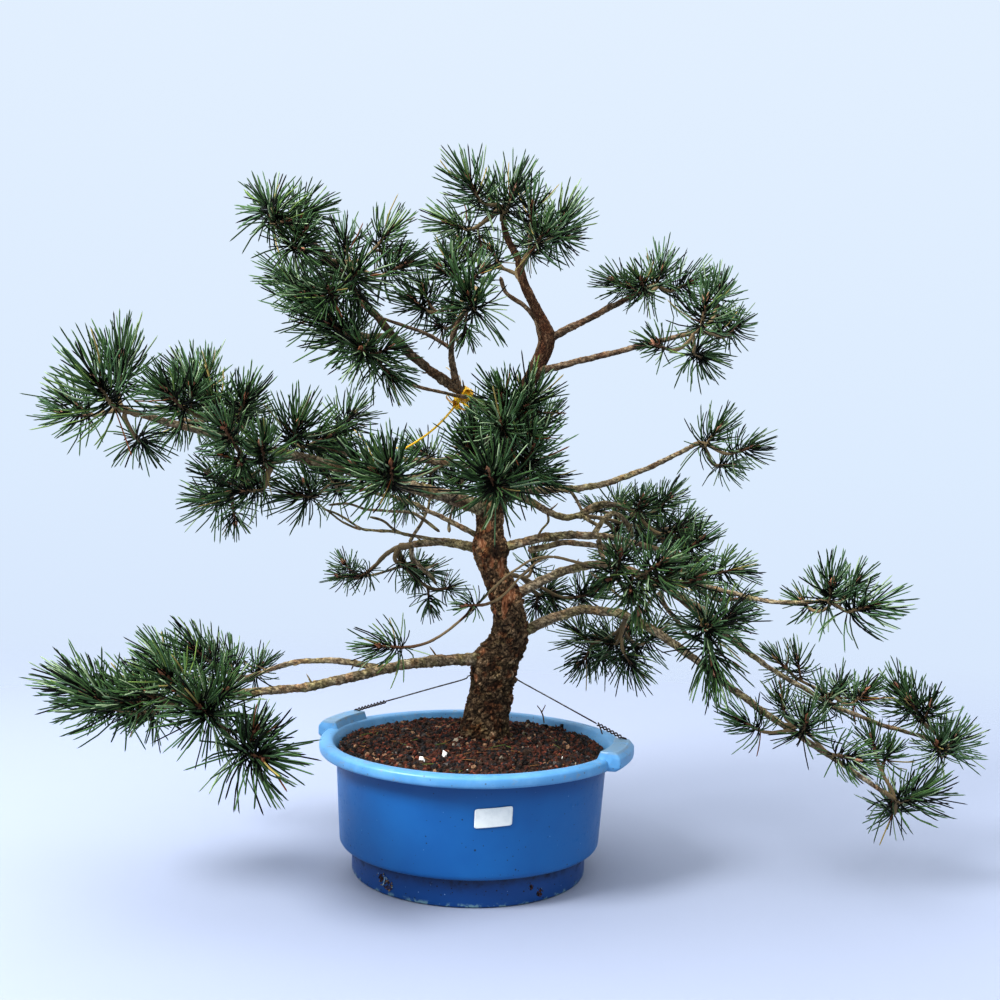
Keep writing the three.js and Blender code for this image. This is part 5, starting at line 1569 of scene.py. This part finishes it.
barkHeap.piece("trunk_bark", "bark", [barkPaint()], ["trunk"])
limbHeap.piece("bough_bark", "bark", [limbPaint()], ["bough_" + row[0] for row in boughs])
twigHeap.piece("twigs", "bark", [twigPaint()])
budHeap.piece("buds", "bark", budPaints)
for region, heap in needleHeaps.items():
    nodes = ["foliage_" + row[0] for row in masses if row[1] == region]
    heap.piece("needles_" + region, "needles", needlePaints, nodes)
potHeap.piece("pot_shell", "pot", [potPaint()], ["pot"])
soilHeap.piece("soil_granules", "soil", earthPaints, flat=True)
tornPaint = stonePaint("torn plastic", tint(96, 140, 170), tint(176, 190, 190))
rootPaint = stonePaint("dry root", tint(150, 124, 84), tint(104, 82, 52))
damageHeap.piece("pot_damage", "soil", earthPaints[:8] + [tornPaint, rootPaint], flat=True)
labelHeap.piece("label_card", "label", [labelPaint()], ["label"])
wireHeap.piece("wire_strands", "wire", [wirePaint()], ["guy_wire"])
tieHeap.piece("tie_ribbon", "tie", [tiePaint()], ["yellow_tie"])
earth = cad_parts["soil"]
earth.data.materials.clear()
earth.data.materials.append(earthPaint())
print("pieces painted")

# Studio: a pale floor that fades out to the pale surroundings, light from all round and above
studio = {
    # the floor in metres: its radius, and from where to where it fades
    "floorRadius": 2.6, "solid": 0.5, "clear": 2.4, "rings": 24, "around": 96, "floor": tint(142, 149, 166),
    # the surroundings' light: share of the way from straight down to straight up, colour there
    "sky": [
        (0.0, (0.1, 0.11, 0.12)), (0.24, (0.36, 0.4, 0.46)), (0.33, (0.70, 0.80, 0.98)),
        (0.52, (0.755, 0.86, 1.0)), (0.735, (0.80, 0.89, 1.0)), (0.82, (2.3, 2.35, 2.4)),
        (1.0, (3.0, 3.05, 3.1)),
    ],
    "key": {"place": (-1.9, -1.4, 2.3), "aim": (0, 0, 0.4), "size": 1.1, "power": 150},
}


def layFloor():
    # A flat disc of rings, a hair under the pot's underside
    rings, around = studio["rings"], studio["around"]
    turn = circle(around)
    far = np.linspace(0, studio["floorRadius"], rings + 1)[1:, None]
    grid = np.stack([far * np.cos(turn), far * np.sin(turn), np.zeros((rings, around))], axis=-1)
    points = np.concatenate([np.zeros((1, 3)), grid.reshape(-1, 3)])
    faces = np.concatenate([fan(0, 1, around, True), ringWalls(rings, around, 1)[:, ::-1]])
    mesh = bpy.data.meshes.new("floor")
    mesh.from_pydata(points.tolist(), [], faces.tolist())
    paint = Paint("pale floor", studio["floor"], 0.7, specular=0.2)
    square = paint.fromMiddle()
    away = square.maths("SQRT", square)
    paint.feed("Alpha", 1 - paint.band(away, studio["solid"], studio["clear"]))
    mesh.materials.append(paint.material)
    floor = bpy.data.objects.new("floor", mesh)
    floor.location.z = -0.5 * metre
    bpy.context.scene.collection.objects.link(floor)


def lightStudio():
    # The world's colour follows how high the ray goes, and one round lamp gives soft shadows
    world = bpy.data.worlds.new("studio")
    world.use_nodes = True
    bpy.context.scene.world = world
    nodes, links = world.node_tree.nodes, world.node_tree.links
    where = nodes.new("ShaderNodeTexCoord")
    split = nodes.new("ShaderNodeSeparateXYZ")
    shift = nodes.new("ShaderNodeMapRange")
    ramp = nodes.new("ShaderNodeValToRGB")
    links.new(where.outputs["Generated"], split.inputs[0])
    links.new(split.outputs["Z"], shift.inputs["Value"])
    shift.inputs["From Min"].default_value = -1.0
    links.new(shift.outputs[0], ramp.inputs[0])
    stops = ramp.color_ramp.elements
    for i, (place, colour) in enumerate(studio["sky"]):
        stop = stops[i] if i < 2 else stops.new(place)
        stop.position, stop.color = place, (*colour, 1)
    links.new(ramp.outputs[0], nodes["Background"].inputs["Color"])
    key = studio["key"]
    data = bpy.data.lights.new("key", "AREA")
    data.shape, data.size, data.energy = "DISK", key["size"], key["power"]
    lamp = bpy.data.objects.new("key", data)
    bpy.context.scene.collection.objects.link(lamp)
    lamp.location = key["place"]
    lamp.rotation_mode = "QUATERNION"
    lamp.rotation_quaternion = (Vector(key["aim"]) - Vector(key["place"])).to_track_quat("-Z", "Y")


layFloor()
lightStudio()
print("studio set")
